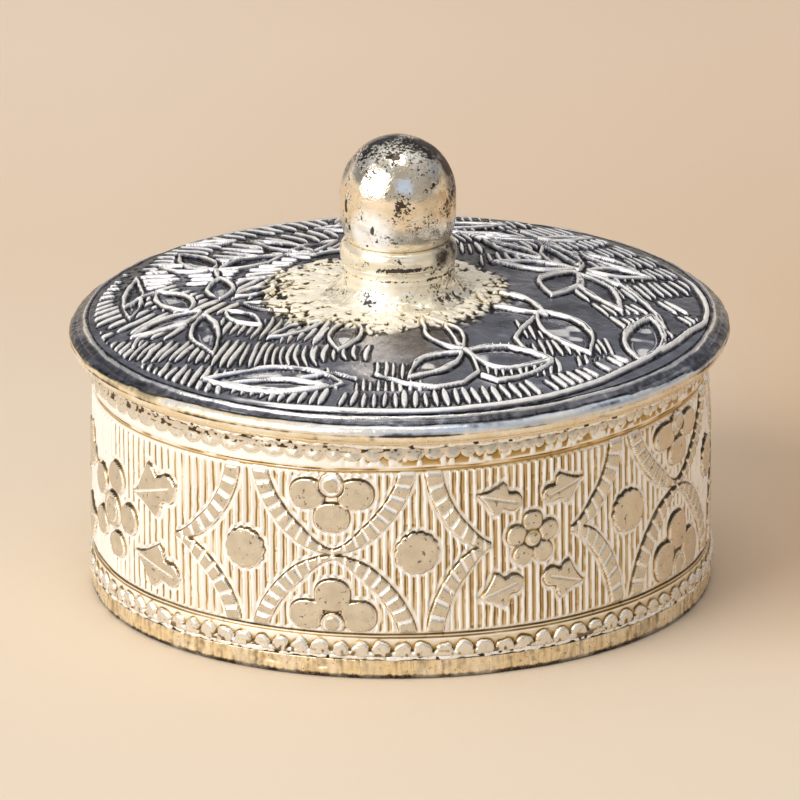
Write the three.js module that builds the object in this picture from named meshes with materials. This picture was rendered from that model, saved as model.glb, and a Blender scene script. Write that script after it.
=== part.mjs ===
import * as THREE from "three";

// A round kumkum box: a footed drum of embossed silver-plated white metal with a lift-off lid and a ball knob.
// Millimetres, +Z up. The origin is on the table, under the middle of the box, and -Y is the front.

// How finely the round pieces are turned
const bigSteps = 48;
const smallSteps = 32;
const arcSteps = 6;

// Running and soldering gaps
const solderGap = 0.05;
const spigotGap = 0.35;
const threadGap = 0.08;

// Drum: a rolled and embossed strip
const drumRadius = 29.45;
const drumWall = 0.9;
const drumHeight = 21.4;
const drumInnerRadius = drumRadius - drumWall;

// The drum's two frieze bands stand a little proud of the fluted field, past a scribed groove
const friezeProud = 0.3;
const lowerFriezeHeight = 2.1;
const upperFriezeHeight = 2.2;
const grooveDepth = 0.25;
const grooveWidth = 0.5;

// Solder seams, laid in rabbets at the drum's two edges
const seamHeight = 0.45;
const seamDepth = 0.5;
const seamProud = 0.32;

// Foot ring and the floor plate that drops into it
const footHeight = 1.9;
const footProud = 0.3;
const footRound = 0.35;
const floorThickness = 0.9;
const floorLedge = 1.1;

// Mouth ring: the flared collar that the lid sits on
const mouthHeight = 0.9;
const mouthFlare = 1.35;
const mouthLip = 0.3;

// Lid: rolled rim, embossed domed plate and the spigot that centres it in the mouth
const lidOverhang = 2.3;
const rimHeight = 1.7;
const ledgeHeight = 1.5;
const ledgeWidth = 1.2;
const plateThickness = 0.9;
const domeRise = 2.6;
const spigotWall = 0.8;
const spigotDepth = 2.8;

// Knob: a flared base, a collar and a bullet-shaped ball, held by one screw from below
const knobBaseRadius = 8.2;
const knobStemRadius = 5.45;
const knobBaseHeight = 3.4;
const knobFlareHeight = 1.9;
const collarRadius = 5.62;
const collarHeight = 2.0;
const collarTopRadius = 4.85;
const ballRadius = 5.61;
const ballSide = 2.1;
const ballLowerHeight = 2.5;
const ballNeckRadius = 4.55;

// Screw and washer under the lid
const screwRadius = 1.5;
const screwGrip = 5.0;
const screwHeadRadius = 2.75;
const screwHeadHeight = 1.7;
const washerRadius = 3.6;
const washerThickness = 0.5;

// Heights that follow from the sizes above
const drumBottom = footHeight;
const drumTop = drumBottom + drumHeight;
const lidSeat = drumTop + mouthHeight;
const plateSeat = lidSeat + ledgeHeight;
const plateEdgeTop = plateSeat + plateThickness;

// Radii that follow from the sizes above
const spigotRadius = drumInnerRadius - spigotGap;
const spigotInnerRadius = spigotRadius - spigotWall;
const ledgeInnerRadius = spigotRadius + spigotGap;
const plateRadius = ledgeInnerRadius + ledgeWidth;
const lidRadius = drumRadius + lidOverhang;
const footRadius = drumRadius + footProud;
const floorRadius = drumInnerRadius - solderGap;
const boreRadius = screwRadius + threadGap;

// Height of the lid's domed top at a radius: a shallow cap over the plate's edge.
const domeTop = (radius) => plateEdgeTop + domeRise * (1 - (radius / plateRadius) ** 2);
const knobSeat = domeTop(knobBaseRadius);
const washerTop = knobSeat - plateThickness;

// Plated white metal in its different tones
const silver = { color: 0xcfc7b4, roughness: 0.28, metalness: 1 };
const darkSilver = { color: 0x9a9ca3, roughness: 0.3, metalness: 1 };
const paleSolder = { color: 0xe6e1d4, roughness: 0.4, metalness: 1 };
const bareSteel = { color: 0xa6a6a6, roughness: 0.35, metalness: 1 };

// Points of a circular arc from one angle to another, in degrees, in the plane of radius and height.
function arc(centreRadius, centreHeight, radius, fromDegrees, toDegrees, heightShare = 1) {
  const points = [];
  for (let step = 0; step <= arcSteps; step += 1) {
    const angle = THREE.MathUtils.degToRad(fromDegrees + ((toDegrees - fromDegrees) * step) / arcSteps);
    const out = radius * Math.cos(angle);
    const up = radius * heightShare * Math.sin(angle);
    points.push([centreRadius + out, centreHeight + up]);
  }
  return points;
}

// A piece turned about the Z axis from an outline that runs anticlockwise, as radius and height.
function turned(name, outline, steps, finish, touchesAxis = false) {
  const closed = touchesAxis ? outline : [...outline, outline[0]];
  const geometry = new THREE.LatheGeometry(
    closed.map(([radius, height]) => new THREE.Vector2(radius, height)),
    steps,
  );
  geometry.rotateX(Math.PI / 2);
  const mesh = new THREE.Mesh(geometry, new THREE.MeshStandardMaterial(finish));
  mesh.name = name;
  return mesh;
}

// The fluted drum with a raised frieze band at each end, a groove beside each band and a rabbet at each edge.
function drumSleeve() {
  const friezeRadius = drumRadius + friezeProud;
  const rabbetRadius = drumRadius - seamDepth;
  const lowerFrieze = drumBottom + seamHeight + lowerFriezeHeight;
  const upperFrieze = drumTop - seamHeight - upperFriezeHeight;
  const grooveMiddle = grooveWidth / 2;
  return turned(
    "drum_sleeve",
    [
      [drumInnerRadius, drumBottom],
      [rabbetRadius, drumBottom],
      [rabbetRadius, drumBottom + seamHeight],
      [friezeRadius, drumBottom + seamHeight],
      [friezeRadius, lowerFrieze],
      [drumRadius - grooveDepth, lowerFrieze + grooveMiddle],
      [drumRadius, lowerFrieze + grooveWidth],
      [drumRadius, upperFrieze - grooveWidth],
      [drumRadius - grooveDepth, upperFrieze - grooveMiddle],
      [friezeRadius, upperFrieze],
      [friezeRadius, drumTop - seamHeight],
      [rabbetRadius, drumTop - seamHeight],
      [rabbetRadius, drumTop],
      [drumInnerRadius, drumTop],
    ],
    bigSteps,
    silver,
  );
}

// A ring of solder that fills a rabbet at the drum's edge and bulges a little past the drum.
function solderSeam(name, bottom) {
  const innerRadius = drumRadius - seamDepth + solderGap;
  const outerRadius = drumRadius + seamProud;
  const bulge = seamHeight / 2;
  return turned(
    name,
    [
      [innerRadius, bottom],
      [outerRadius, bottom],
      [outerRadius + bulge, bottom + bulge],
      [outerRadius, bottom + seamHeight],
      [innerRadius, bottom + seamHeight],
    ],
    bigSteps,
    paleSolder,
  );
}

// The plain ring that the box stands on, with a ledge inside for the floor plate.
function footRing() {
  const ledgeRadius = drumInnerRadius - floorLedge;
  return turned(
    "foot_ring",
    [
      [ledgeRadius, 0],
      ...arc(footRadius - footRound, footRound, footRound, -90, 0),
      [footRadius, footHeight],
      [drumInnerRadius, footHeight],
      [drumInnerRadius, footHeight - floorThickness],
      [ledgeRadius, footHeight - floorThickness],
    ],
    bigSteps,
    silver,
  );
}

// The flat disc that closes the drum, flush with the top of the foot ring.
function floorPlate() {
  const bottom = footHeight - floorThickness;
  return turned(
    "floor_plate",
    [
      [0, bottom],
      [floorRadius, bottom],
      [floorRadius, footHeight],
      [0, footHeight],
    ],
    bigSteps,
    silver,
    true,
  );
}

// The collar round the mouth: a hollow curve that flares from the drum out to the lip under the lid.
function mouthRing() {
  const lipRadius = drumRadius + mouthFlare;
  const coveHeight = mouthHeight - mouthLip;
  const cove = arc(lipRadius, drumTop, mouthFlare, 180, 90, coveHeight / mouthFlare);
  return turned(
    "mouth_ring",
    [[drumInnerRadius, drumTop], ...cove, [lipRadius, lidSeat], [drumInnerRadius, lidSeat]],
    bigSteps,
    silver,
  );
}

// The rolled rim of the lid, with a ledge inside that the domed plate is soldered onto.
function lidRim() {
  const roundRadius = rimHeight / 2;
  const shoulderRadius = plateRadius + solderGap;
  return turned(
    "lid_rim",
    [
      [ledgeInnerRadius, lidSeat],
      ...arc(lidRadius - roundRadius, lidSeat + roundRadius, roundRadius, -90, 70),
      [shoulderRadius, plateEdgeTop],
      [shoulderRadius, plateSeat],
      [ledgeInnerRadius, plateSeat],
    ],
    bigSteps,
    silver,
  );
}

// The domed plate with a flat seat for the knob, a flat ring below for the rim and spigot, and a hole for the screw.
function lidPlate() {
  const domeShares = [1, 0.86, 0.72, 0.58, 0.44, 0.3, 0.15, 0];
  const radiusAt = (share) => knobBaseRadius + (plateRadius - knobBaseRadius) * share;
  const top = domeShares.map((share) => [radiusAt(share), domeTop(radiusAt(share))]);
  const flatInnerRadius = spigotInnerRadius - spigotWall;
  const underRadii = domeShares
    .map(radiusAt)
    .filter((radius) => radius < flatInnerRadius - spigotWall)
    .reverse();
  const underside = underRadii.map((radius) => [radius, domeTop(radius) - plateThickness]);
  return turned(
    "lid_plate",
    [
      [boreRadius, washerTop],
      ...underside,
      [flatInnerRadius, plateSeat],
      [plateRadius, plateSeat],
      ...top,
      [boreRadius, knobSeat],
    ],
    bigSteps,
    darkSilver,
  );
}

// The thin ring under the lid that drops inside the mouth and keeps the lid centred.
function lidSpigot() {
  const bottom = lidSeat - spigotDepth;
  return turned(
    "lid_spigot",
    [
      [spigotInnerRadius, bottom],
      [spigotRadius, bottom],
      [spigotRadius, plateSeat],
      [spigotInnerRadius, plateSeat],
    ],
    bigSteps,
    silver,
  );
}

// The knob's base: a hollow flare that rises from the lid into a short round stem.
function knobBase() {
  const flareWidth = knobBaseRadius - knobStemRadius;
  const flareTop = knobSeat + knobFlareHeight;
  const flare = arc(knobBaseRadius, flareTop, flareWidth, 270, 180, knobFlareHeight / flareWidth);
  const stemTop = knobSeat + knobBaseHeight;
  return turned(
    "knob_base",
    [[boreRadius, knobSeat], ...flare, [knobStemRadius, stemTop], [boreRadius, stemTop]],
    smallSteps,
    silver,
  );
}

// The collar between the base and the ball: a rounded shoulder over a short side.
function knobCollar() {
  const bottom = knobSeat + knobBaseHeight;
  const shoulder = collarRadius - collarTopRadius;
  const shoulderHeight = collarHeight / 2;
  return turned(
    "knob_collar",
    [
      [boreRadius, bottom],
      [collarRadius - solderGap, bottom],
      ...arc(collarTopRadius, bottom + shoulderHeight, shoulder, 0, 90, shoulderHeight / shoulder),
      [boreRadius, bottom + collarHeight],
    ],
    smallSteps,
    silver,
  );
}

// The ball: drawn in at the neck, straight at the sides and domed on top, with a blind hole for the screw.
function knobBall() {
  const bottom = knobSeat + knobBaseHeight + collarHeight;
  const sideBottom = bottom + ballLowerHeight;
  const sideTop = sideBottom + ballSide;
  const drawnIn = ballRadius - ballNeckRadius;
  const holeTop = bottom + screwGrip + threadGap;
  return turned(
    "knob_ball",
    [
      [0, holeTop],
      [boreRadius, holeTop],
      [boreRadius, bottom],
      ...arc(ballNeckRadius, sideBottom, drawnIn, -90, 0, ballLowerHeight / drawnIn),
      ...arc(0, sideTop, ballRadius, 0, 45),
      ...arc(0, sideTop, ballRadius, 45, 90).slice(1),
    ],
    smallSteps,
    silver,
    true,
  );
}

// The pan-headed screw that comes up through the washer, plate, base and collar into the ball.
function knobScrew() {
  const headTop = washerTop - washerThickness;
  const headBottom = headTop - screwHeadHeight;
  const shankTop = knobSeat + knobBaseHeight + collarHeight + screwGrip;
  const headRound = screwHeadHeight / 2;
  return turned(
    "knob_screw",
    [
      [0, headBottom],
      ...arc(screwHeadRadius - headRound, headBottom + headRound, headRound, -90, 0),
      [screwHeadRadius, headTop],
      [screwRadius, headTop],
      [screwRadius, shankTop],
      [0, shankTop],
    ],
    smallSteps,
    bareSteel,
    true,
  );
}

// The plain washer under the screw's head.
function knobWasher() {
  const bottom = washerTop - washerThickness;
  return turned(
    "knob_washer",
    [
      [boreRadius, bottom],
      [washerRadius, bottom],
      [washerRadius, washerTop],
      [boreRadius, washerTop],
    ],
    smallSteps,
    bareSteel,
  );
}

const box = new THREE.Group();
box.name = "box";
box.add(
  footRing(),
  floorPlate(),
  drumSleeve(),
  solderSeam("foot_solder_seam", drumBottom),
  solderSeam("mouth_solder_seam", drumTop - seamHeight),
  mouthRing(),
);

const lid = new THREE.Group();
lid.name = "lid";
lid.add(
  lidRim(),
  lidPlate(),
  lidSpigot(),
  knobBase(),
  knobCollar(),
  knobBall(),
  knobWasher(),
  knobScrew(),
);

const kumkumBox = new THREE.Group();
kumkumBox.name = "kumkum_box";
kumkumBox.add(box, lid);

export default kumkumBox;
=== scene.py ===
"""Looks for a round kumkum box: an embossed drum on a foot ring, and a chased lid with a ball knob.

Sizes in the shape functions are in millimetres. Angles run from the front (-Y) round to the right (+X).
"""

import math
from types import SimpleNamespace

import bpy
import numpy as np
from mathutils import Matrix, Vector


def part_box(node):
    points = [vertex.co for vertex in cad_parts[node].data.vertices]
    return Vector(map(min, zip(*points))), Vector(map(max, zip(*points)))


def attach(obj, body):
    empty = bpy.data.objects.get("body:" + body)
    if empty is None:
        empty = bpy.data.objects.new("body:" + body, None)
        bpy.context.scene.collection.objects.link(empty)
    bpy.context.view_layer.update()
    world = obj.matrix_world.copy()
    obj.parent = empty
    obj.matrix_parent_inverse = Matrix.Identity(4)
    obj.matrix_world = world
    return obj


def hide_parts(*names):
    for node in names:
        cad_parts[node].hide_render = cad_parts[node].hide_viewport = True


bl_info = {
    "name": "Kumkum Box",
    "version": (1, 0, 0),
    "blender": (4, 5, 0),
    "location": "3D View > Sidebar > Kumkum Box",
    "description": "Builds the embossed drum, the chased lid and the knob of a kumkum box on its frame",
    "category": "Add Mesh",
}

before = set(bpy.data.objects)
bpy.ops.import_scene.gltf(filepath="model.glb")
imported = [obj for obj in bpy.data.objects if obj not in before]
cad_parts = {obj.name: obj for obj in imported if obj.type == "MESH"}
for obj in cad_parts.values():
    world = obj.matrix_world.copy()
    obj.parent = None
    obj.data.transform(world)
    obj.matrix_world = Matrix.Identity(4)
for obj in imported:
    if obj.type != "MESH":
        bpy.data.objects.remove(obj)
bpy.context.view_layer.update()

MM = 0.001


def radius_of(node):
    """How far a frame node reaches from the axis, in millimetres."""
    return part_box(node)[1][0] / MM


def levels_of(node):
    """Height of a frame node's underside and of its top, in millimetres."""
    return tuple(corner[2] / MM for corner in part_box(node))


# Heights and radii that the frame gives
FOOT_TOP = levels_of("foot_ring")[1]
FOOT_RADIUS = radius_of("foot_ring")
DRUM_BOTTOM, DRUM_TOP = levels_of("drum_sleeve")
FRIEZE_RADIUS = radius_of("drum_sleeve")
MOUTH_TOP = levels_of("mouth_ring")[1]
MOUTH_RADIUS = radius_of("mouth_ring")
RIM_RADIUS = radius_of("lid_rim")
PLATE_SEAT = levels_of("lid_plate")[0]
PLATE_RADIUS = radius_of("lid_plate")
SPIGOT_BOTTOM = levels_of("lid_spigot")[0]
SPIGOT_RADIUS = radius_of("lid_spigot")
BASE_TOP = levels_of("knob_base")[1]
BASE_RADIUS = radius_of("knob_base")
COLLAR_TOP = levels_of("knob_collar")[1]
COLLAR_RADIUS = radius_of("knob_collar")
BALL_TOP = levels_of("knob_ball")[1]
BALL_RADIUS = radius_of("knob_ball")
WASHER_BOTTOM, WASHER_TOP = levels_of("knob_washer")
WASHER_RADIUS = radius_of("knob_washer")
SCREW_BOTTOM, SCREW_TOP = levels_of("knob_screw")
SCREW_HEAD_RADIUS = radius_of("knob_screw")

# Sizes shared by several pieces, as on the frame
WALL_RADIUS = FRIEZE_RADIUS - 0.3
WALL_INSIDE = WALL_RADIUS - 0.9
SEAM_HEIGHT = 0.45
RABBET_RADIUS = WALL_RADIUS - 0.5
FLOOR_THICKNESS = 0.9
FOOT_LEDGE = 1.1
PLATE_THICKNESS = 0.9
PLATE_EDGE_TOP = PLATE_SEAT + PLATE_THICKNESS
DOME_RISE = 2.6
SPIGOT_WALL = 0.8
BORE_RADIUS = 1.58
SCREW_RADIUS = 1.5

# The scribed lines that part the fluted field from the two friezes, and the middle between them
LOWER_LINE = 4.45
UPPER_LINE = 20.75
FIELD_MIDDLE = 12.6
FIELD_HALF = 8.15

# Where the drum's ornament sits: two panels, each seen twice, and four crossings between them
SMALL_PANEL = math.radians(25.0)
CROSSING = math.radians(38.0)

# The strip's ornament repeats after half a turn, but is stretched a little at the large panels: where, and
# what it shows
STRETCH_AT = (-155.0, -89.9, -47.9, 97.9, 139.9, 205.0)
STRETCH_TO = (-155.0, -82.1, -47.9, 97.9, 132.1, 205.0)
STRETCH = 42.0 / 34.2

# The flutes stand closer on the right than on the left, and so do the lobes that hang from the mouth
FLUTE_AT = (-90.0, -15.0, 90.0)
FLUTE_TO = (-90.0, -24.1, 90.0)
LOBE_AT = (-180.0, -90.0, -20.0, 10.0, 90.0, 180.0)
LOBES_PASSED = (0.0, 30.0, 46.0, 54.0, 88.0, 120.0)


def clipped(value):
    """A value cut to the range from 0 to 1."""
    return np.clip(value, 0.0, 1.0)


def smooth(low, high, value):
    """Smooth step: 0 below low, 1 above high, and 3t*t - 2t*t*t between them."""
    t = clipped((value - low) / (high - low))
    return t * t * (3.0 - 2.0 * t)


def bell(off, half):
    """A bell curve round nought: exp(-(off/half)^2)."""
    return np.exp(-((off / half) ** 2))


def wrapped(angle, turn=2.0 * math.pi):
    """The angle brought between minus and plus half a turn."""
    return (angle + turn / 2.0) % turn - turn / 2.0


def hashed(a, b, c=0, seed=0):
    """A repeatable share from 0 to 1 for each whole-number place: products by odd numbers, mixed by shifts."""
    a, b, c = (np.asarray(part).astype(np.int64).astype(np.uint32) for part in (a, b, c))
    mixed = a * np.uint32(374761393) + b * np.uint32(668265263) + c * np.uint32(2246822519)
    mixed = mixed + np.uint32((seed * 3266489917) & 0xFFFFFFFF)
    mixed = (mixed ^ (mixed >> np.uint32(13))) * np.uint32(1274126177)
    mixed = (mixed ^ (mixed >> np.uint32(16))) * np.uint32(2654435761)
    return ((mixed ^ (mixed >> np.uint32(15))) & np.uint32(0xFFFFFF)) / float(0xFFFFFF)


def drift(x, y, z, size, seed=0):
    """Value noise from -1 to 1: hashed shares at the corners of cells of one size, blended smoothly across
    each cell."""
    spots = [np.asarray(part, float) / size for part in np.broadcast_arrays(x, y, z)]
    whole = [np.floor(spot) for spot in spots]
    part = [spot - base for spot, base in zip(spots, whole)]
    part = [share * share * (3.0 - 2.0 * share) for share in part]
    total = np.zeros(spots[0].shape)
    for i in (0, 1):
        for j in (0, 1):
            for k in (0, 1):
                weight = (
                    (part[0] if i else 1.0 - part[0])
                    * (part[1] if j else 1.0 - part[1])
                    * (part[2] if k else 1.0 - part[2])
                )
                total += weight * hashed(whole[0] + i, whole[1] + j, whole[2] + k, seed)
    return total * 2.0 - 1.0


def round_drift(angle, radius, height, size, seed=0):
    """Value noise read on a turned surface, so that it closes up after a full turn."""
    return drift(radius * np.sin(angle), -radius * np.cos(angle), height, size, seed)


def averaged(values, reach, axis, closed):
    """Running mean over 2*reach + 1 samples along one axis, by differences of the running sum."""
    values = np.moveaxis(values, axis, 0)
    pad = values[-reach:], values[:reach]
    if not closed:
        pad = np.repeat(values[:1], reach, 0), np.repeat(values[-1:], reach, 0)
    long = np.concatenate([pad[0], values, pad[1]])
    summed = np.cumsum(np.concatenate([np.zeros_like(long[:1]), long]), 0)
    width = 2 * reach + 1
    return np.moveaxis((summed[width:] - summed[:-width]) / width, 0, axis)


def stands_out(lift, reach_round, reach_up, gain):
    """How far a relief stands over its surroundings, as 0.5 + gain * (relief - local mean), cut to 0..1."""
    mean = lift
    for _ in range(2):
        mean = averaged(averaged(mean, reach_round, 0, True), reach_up, 1, False)
    return clipped(0.5 + gain * (lift - mean))


def full_turn(count):
    """Angles of one full turn, evenly spaced, without the closing one."""
    return np.arange(count) * (2.0 * math.pi / count)


def turned_points(radius, height, angles):
    """Points of a surface turned about Z: x = r sin(a), y = -r cos(a), z = height. Rows are angles."""
    radius, height = np.broadcast_arrays(radius, height)
    angles = np.asarray(angles)[:, None]
    return np.stack([radius * np.sin(angles), -radius * np.cos(angles), height + 0.0 * angles], -1)


def put_mesh(name, points, faces, smooth_faces, values):
    """A mesh from an array of points in millimetres, arrays of faces of one size each, and values kept on
    the points."""
    mesh = bpy.data.meshes.new(name)
    points = points.reshape(-1, 3) * MM
    corners = np.concatenate([group.ravel() for group in faces]).astype(np.int32)
    sizes = np.concatenate([np.full(len(group), group.shape[1]) for group in faces])
    starts = np.concatenate([[0], np.cumsum(sizes)[:-1]]).astype(np.int32)
    mesh.vertices.add(len(points))
    mesh.vertices.foreach_set("co", points.astype(np.float32).ravel())
    mesh.loops.add(len(corners))
    mesh.loops.foreach_set("vertex_index", corners)
    mesh.polygons.add(len(sizes))
    mesh.polygons.foreach_set("loop_start", starts)
    mesh.polygons.foreach_set("use_smooth", np.asarray(smooth_faces, bool))
    for key, share in values.items():
        kept = mesh.attributes.new(key, "FLOAT", "POINT")
        kept.data.foreach_set("value", np.ascontiguousarray(share, np.float32).ravel())
    mesh.update(calc_edges=True)
    if mesh.validate():
        raise RuntimeError(f"the mesh of {name} had faults")
    return mesh


def shell(name, radius, height, angles, whole, smooth_span, values):
    """A closed shell: a closed outline in radius and height, anticlockwise, swept through the angles.

    Row j holds the outline at angle j. The outline closes on itself, and the sweep either closes too or
    gets a flat cap at each end. Faces between outline points smooth_span[0] and smooth_span[1] are shaded
    smooth.
    """
    radius, height = np.broadcast_arrays(radius, height)
    rows, count = radius.shape
    points = turned_points(radius, height, angles)
    j = np.arange(rows if whole else rows - 1)[:, None]
    i = np.arange(count)[None, :]
    after_j, after_i = (j + 1) % rows, (i + 1) % count
    quads = np.stack(
        [j * count + i, after_j * count + i, after_j * count + after_i, j * count + after_i], -1
    ).reshape(-1, 4)
    soft = np.broadcast_to((i >= smooth_span[0]) & (i < smooth_span[1]), (len(j), count)).ravel()
    faces = [quads]
    if not whole:
        start = np.arange(count)[None, :]
        end = (rows - 1) * count + np.arange(count)[::-1][None, :]
        faces += [start, end]
        soft = np.concatenate([soft, [False, False]])
    kept = {key: np.broadcast_to(share, radius.shape) for key, share in values.items()}
    return put_mesh(name, points, faces, soft, kept)


def poled(name, radius, height, angles, smooth_span, values):
    """A closed solid whose outline starts and ends on the axis, where each end is one point joined by
    triangles."""
    radius, height = np.broadcast_arrays(radius, height)
    rows, count = radius.shape
    inner = turned_points(radius[:, 1:-1], height[:, 1:-1], angles)
    poles = np.array([[0.0, 0.0, height[0, 0]], [0.0, 0.0, height[0, -1]]])
    width = count - 2
    points = np.concatenate([inner.reshape(-1, 3), poles])
    j = np.arange(rows)[:, None]
    i = np.arange(width - 1)[None, :]
    after = (j + 1) % rows
    quads = np.stack([j * width + i, after * width + i, after * width + i + 1, j * width + i + 1], -1)
    quads = quads.reshape(-1, 4)
    soft = np.broadcast_to((i + 1 >= smooth_span[0]) & (i + 1 < smooth_span[1]), (rows, width - 1)).ravel()
    first, last = rows * width, rows * width + 1
    j, after = j.ravel(), after.ravel()
    low = np.stack([np.full(rows, first), after * width, j * width], -1)
    high = np.stack([np.full(rows, last), j * width + width - 1, after * width + width - 1], -1)
    low_soft = np.full(rows, smooth_span[0] == 0)
    high_soft = np.full(rows, smooth_span[1] >= count - 1)
    kept = {}
    for key, share in values.items():
        share = np.broadcast_to(share, radius.shape)
        kept[key] = np.concatenate([share[:, 1:-1].ravel(), [share[:, 0].mean(), share[:, -1].mean()]])
    return put_mesh(name, points, [quads, low, high], np.concatenate([soft, low_soft, high_soft]), kept)


def joined_outline(columns, *parts):
    """Outline parts set end to end, each an array per column or one row for all columns."""
    wide = [np.broadcast_to(np.asarray(part, float), (columns, np.shape(part)[-1])) for part in parts]
    return np.concatenate(wide, 1)


def arc_points(centre_r, centre_z, radius, start, stop, count, squash=1.0):
    """Radius and height along an arc from one angle to another, in degrees, squashed in height."""
    turn = np.radians(np.linspace(start, stop, count))
    return centre_r + radius * np.cos(turn), centre_z + radius * squash * np.sin(turn)


def along(points, step):
    """Radius and height along a broken line, with a point at least every step and at each corner."""
    points = np.asarray(points, float)
    lengths = np.hypot(*np.diff(points, axis=0).T)
    shares = [np.linspace(0.0, 1.0, max(1, round(length / step)) + 1)[:-1] for length in lengths]
    parts = [a + (b - a) * share[:, None] for a, b, share in zip(points[:-1], points[1:], shares)]
    line = np.concatenate([*parts, points[-1:]])
    return line[:, 0], line[:, 1]


# The drum's ornament

# Half width of a three-lobed leaf along its length, from its tip, as shares of the length
LEAF_AT_SHARES = (0.0, 0.1, 0.24, 0.38, 0.48, 0.57, 0.64, 0.71, 0.8, 0.88, 0.95, 1.0)
LEAF_HALF_SHARES = (0.0, 0.035, 0.12, 0.25, 0.355, 0.3, 0.17, 0.165, 0.19, 0.165, 0.1, 0.0)


def island(edge):
    """Flat-topped relief from a signed distance: it climbs within a quarter of a millimetre of its edge."""
    return smooth(-0.06, 0.16, edge)


def merged(a, b, reach):
    """The larger of two signed distances, with the notch between them filled over one reach."""
    return np.maximum(a, b) + np.maximum(reach - np.abs(a - b), 0.0) ** 2 / (4.0 * reach)


def oval(p, w, centre_p, centre_w, half_p, half_w, power=2.0):
    """Signed distance inside an oval: (1 - (|p|^n + |w|^n)^(1/n)) times its smaller half width."""
    along_p, along_w = np.abs((p - centre_p) / half_p), np.abs((w - centre_w) / half_w)
    return (1.0 - (along_p**power + along_w**power) ** (1.0 / power)) * min(half_p, half_w)


def button(p, w, centre_p, centre_w, radius):
    """A flower's eye: a flat disc with a thin ring cut at 0.7 of its radius."""
    out = np.hypot(p - centre_p, w - centre_w)
    groove = bell(out - 0.7 * radius, 0.13)
    return smooth(-0.02, 0.2, radius - out) * (1.08 - 0.62 * groove), radius - out


def lobed_leaf(p, w, tip, turn, length):
    """Signed distance inside a three-lobed leaf, with its half width read from the table, and its midrib."""
    cos, sin = math.cos(turn), math.sin(turn)
    run = (p - tip[0]) * cos + (w - tip[1]) * sin
    off = np.abs((w - tip[1]) * cos - (p - tip[0]) * sin)
    half = length * np.interp(run / length, LEAF_AT_SHARES, LEAF_HALF_SHARES, left=-0.2, right=-0.2)
    rib = bell(off, 0.13) * smooth(0.02, 0.1, run / length) * smooth(0.92, 0.8, run / length)
    return (half - off) * 0.75, rib


def strand(p, drop, half_p, half_drop, blocks, power, narrowest):
    """A rope-like strand along the curve (|p|/a)^n + (drop/b)^n = 1: flat blocks parted by narrow cuts,
    and narrower towards the point of the curve that lies farthest from the scribed line."""
    p, drop = np.abs(p), np.maximum(drop, 0.0)
    share = ((p / half_p) ** power + (drop / half_drop) ** power) ** (1.0 / power)
    off = np.hypot(p, drop) * (1.0 - 1.0 / np.maximum(share, 1e-6))
    place_along = np.arctan2(drop / half_drop, p / half_p) / (math.pi / 2.0)
    cut = smooth(0.64, 0.84, np.abs(place_along * blocks % 1.0 - 0.5) * 2.0)
    edge = narrowest + (0.8 - narrowest) * smooth(1.0, 0.62, place_along) - np.abs(off)
    return island(edge) * (1.0 - 0.5 * cut), edge, cut * island(edge)


def flower(p, w, petals, reach, petal_along, petal_across, turn, eye):
    """An open flower: petals set evenly round an eye and grown together at their roots."""
    out, angle = np.hypot(p, w), np.arctan2(w, p)
    around = wrapped(angle - turn, 2.0 * math.pi / petals)
    edge = oval(out * np.cos(around), out * np.sin(around), reach, 0.0, petal_along, petal_across, 2.3)
    eye_body, eye_edge = button(p, w, 0.0, 0.0, eye)
    gap = smooth(0.0, 0.2, -eye_edge)
    return np.maximum(island(edge) * gap, eye_body), np.maximum(edge, eye_edge)


def half_flower(p, drop, side, middle, eye_drop):
    """Three petals grown together round an eye at the scribed line: two at the sides and one between."""
    sides = oval(np.abs(p), drop, side[0], side[1], side[2], side[3], 2.3)
    petals = merged(sides, oval(p, drop, 0.0, middle[0], middle[1], middle[2], 2.3), 0.2)
    eye, eye_edge = button(p, drop, 0.0, eye_drop, 1.2)
    gap = smooth(0.02, 0.22, -eye_edge)
    return np.maximum(island(petals) * gap, eye), np.maximum(petals, eye_edge)


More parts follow.
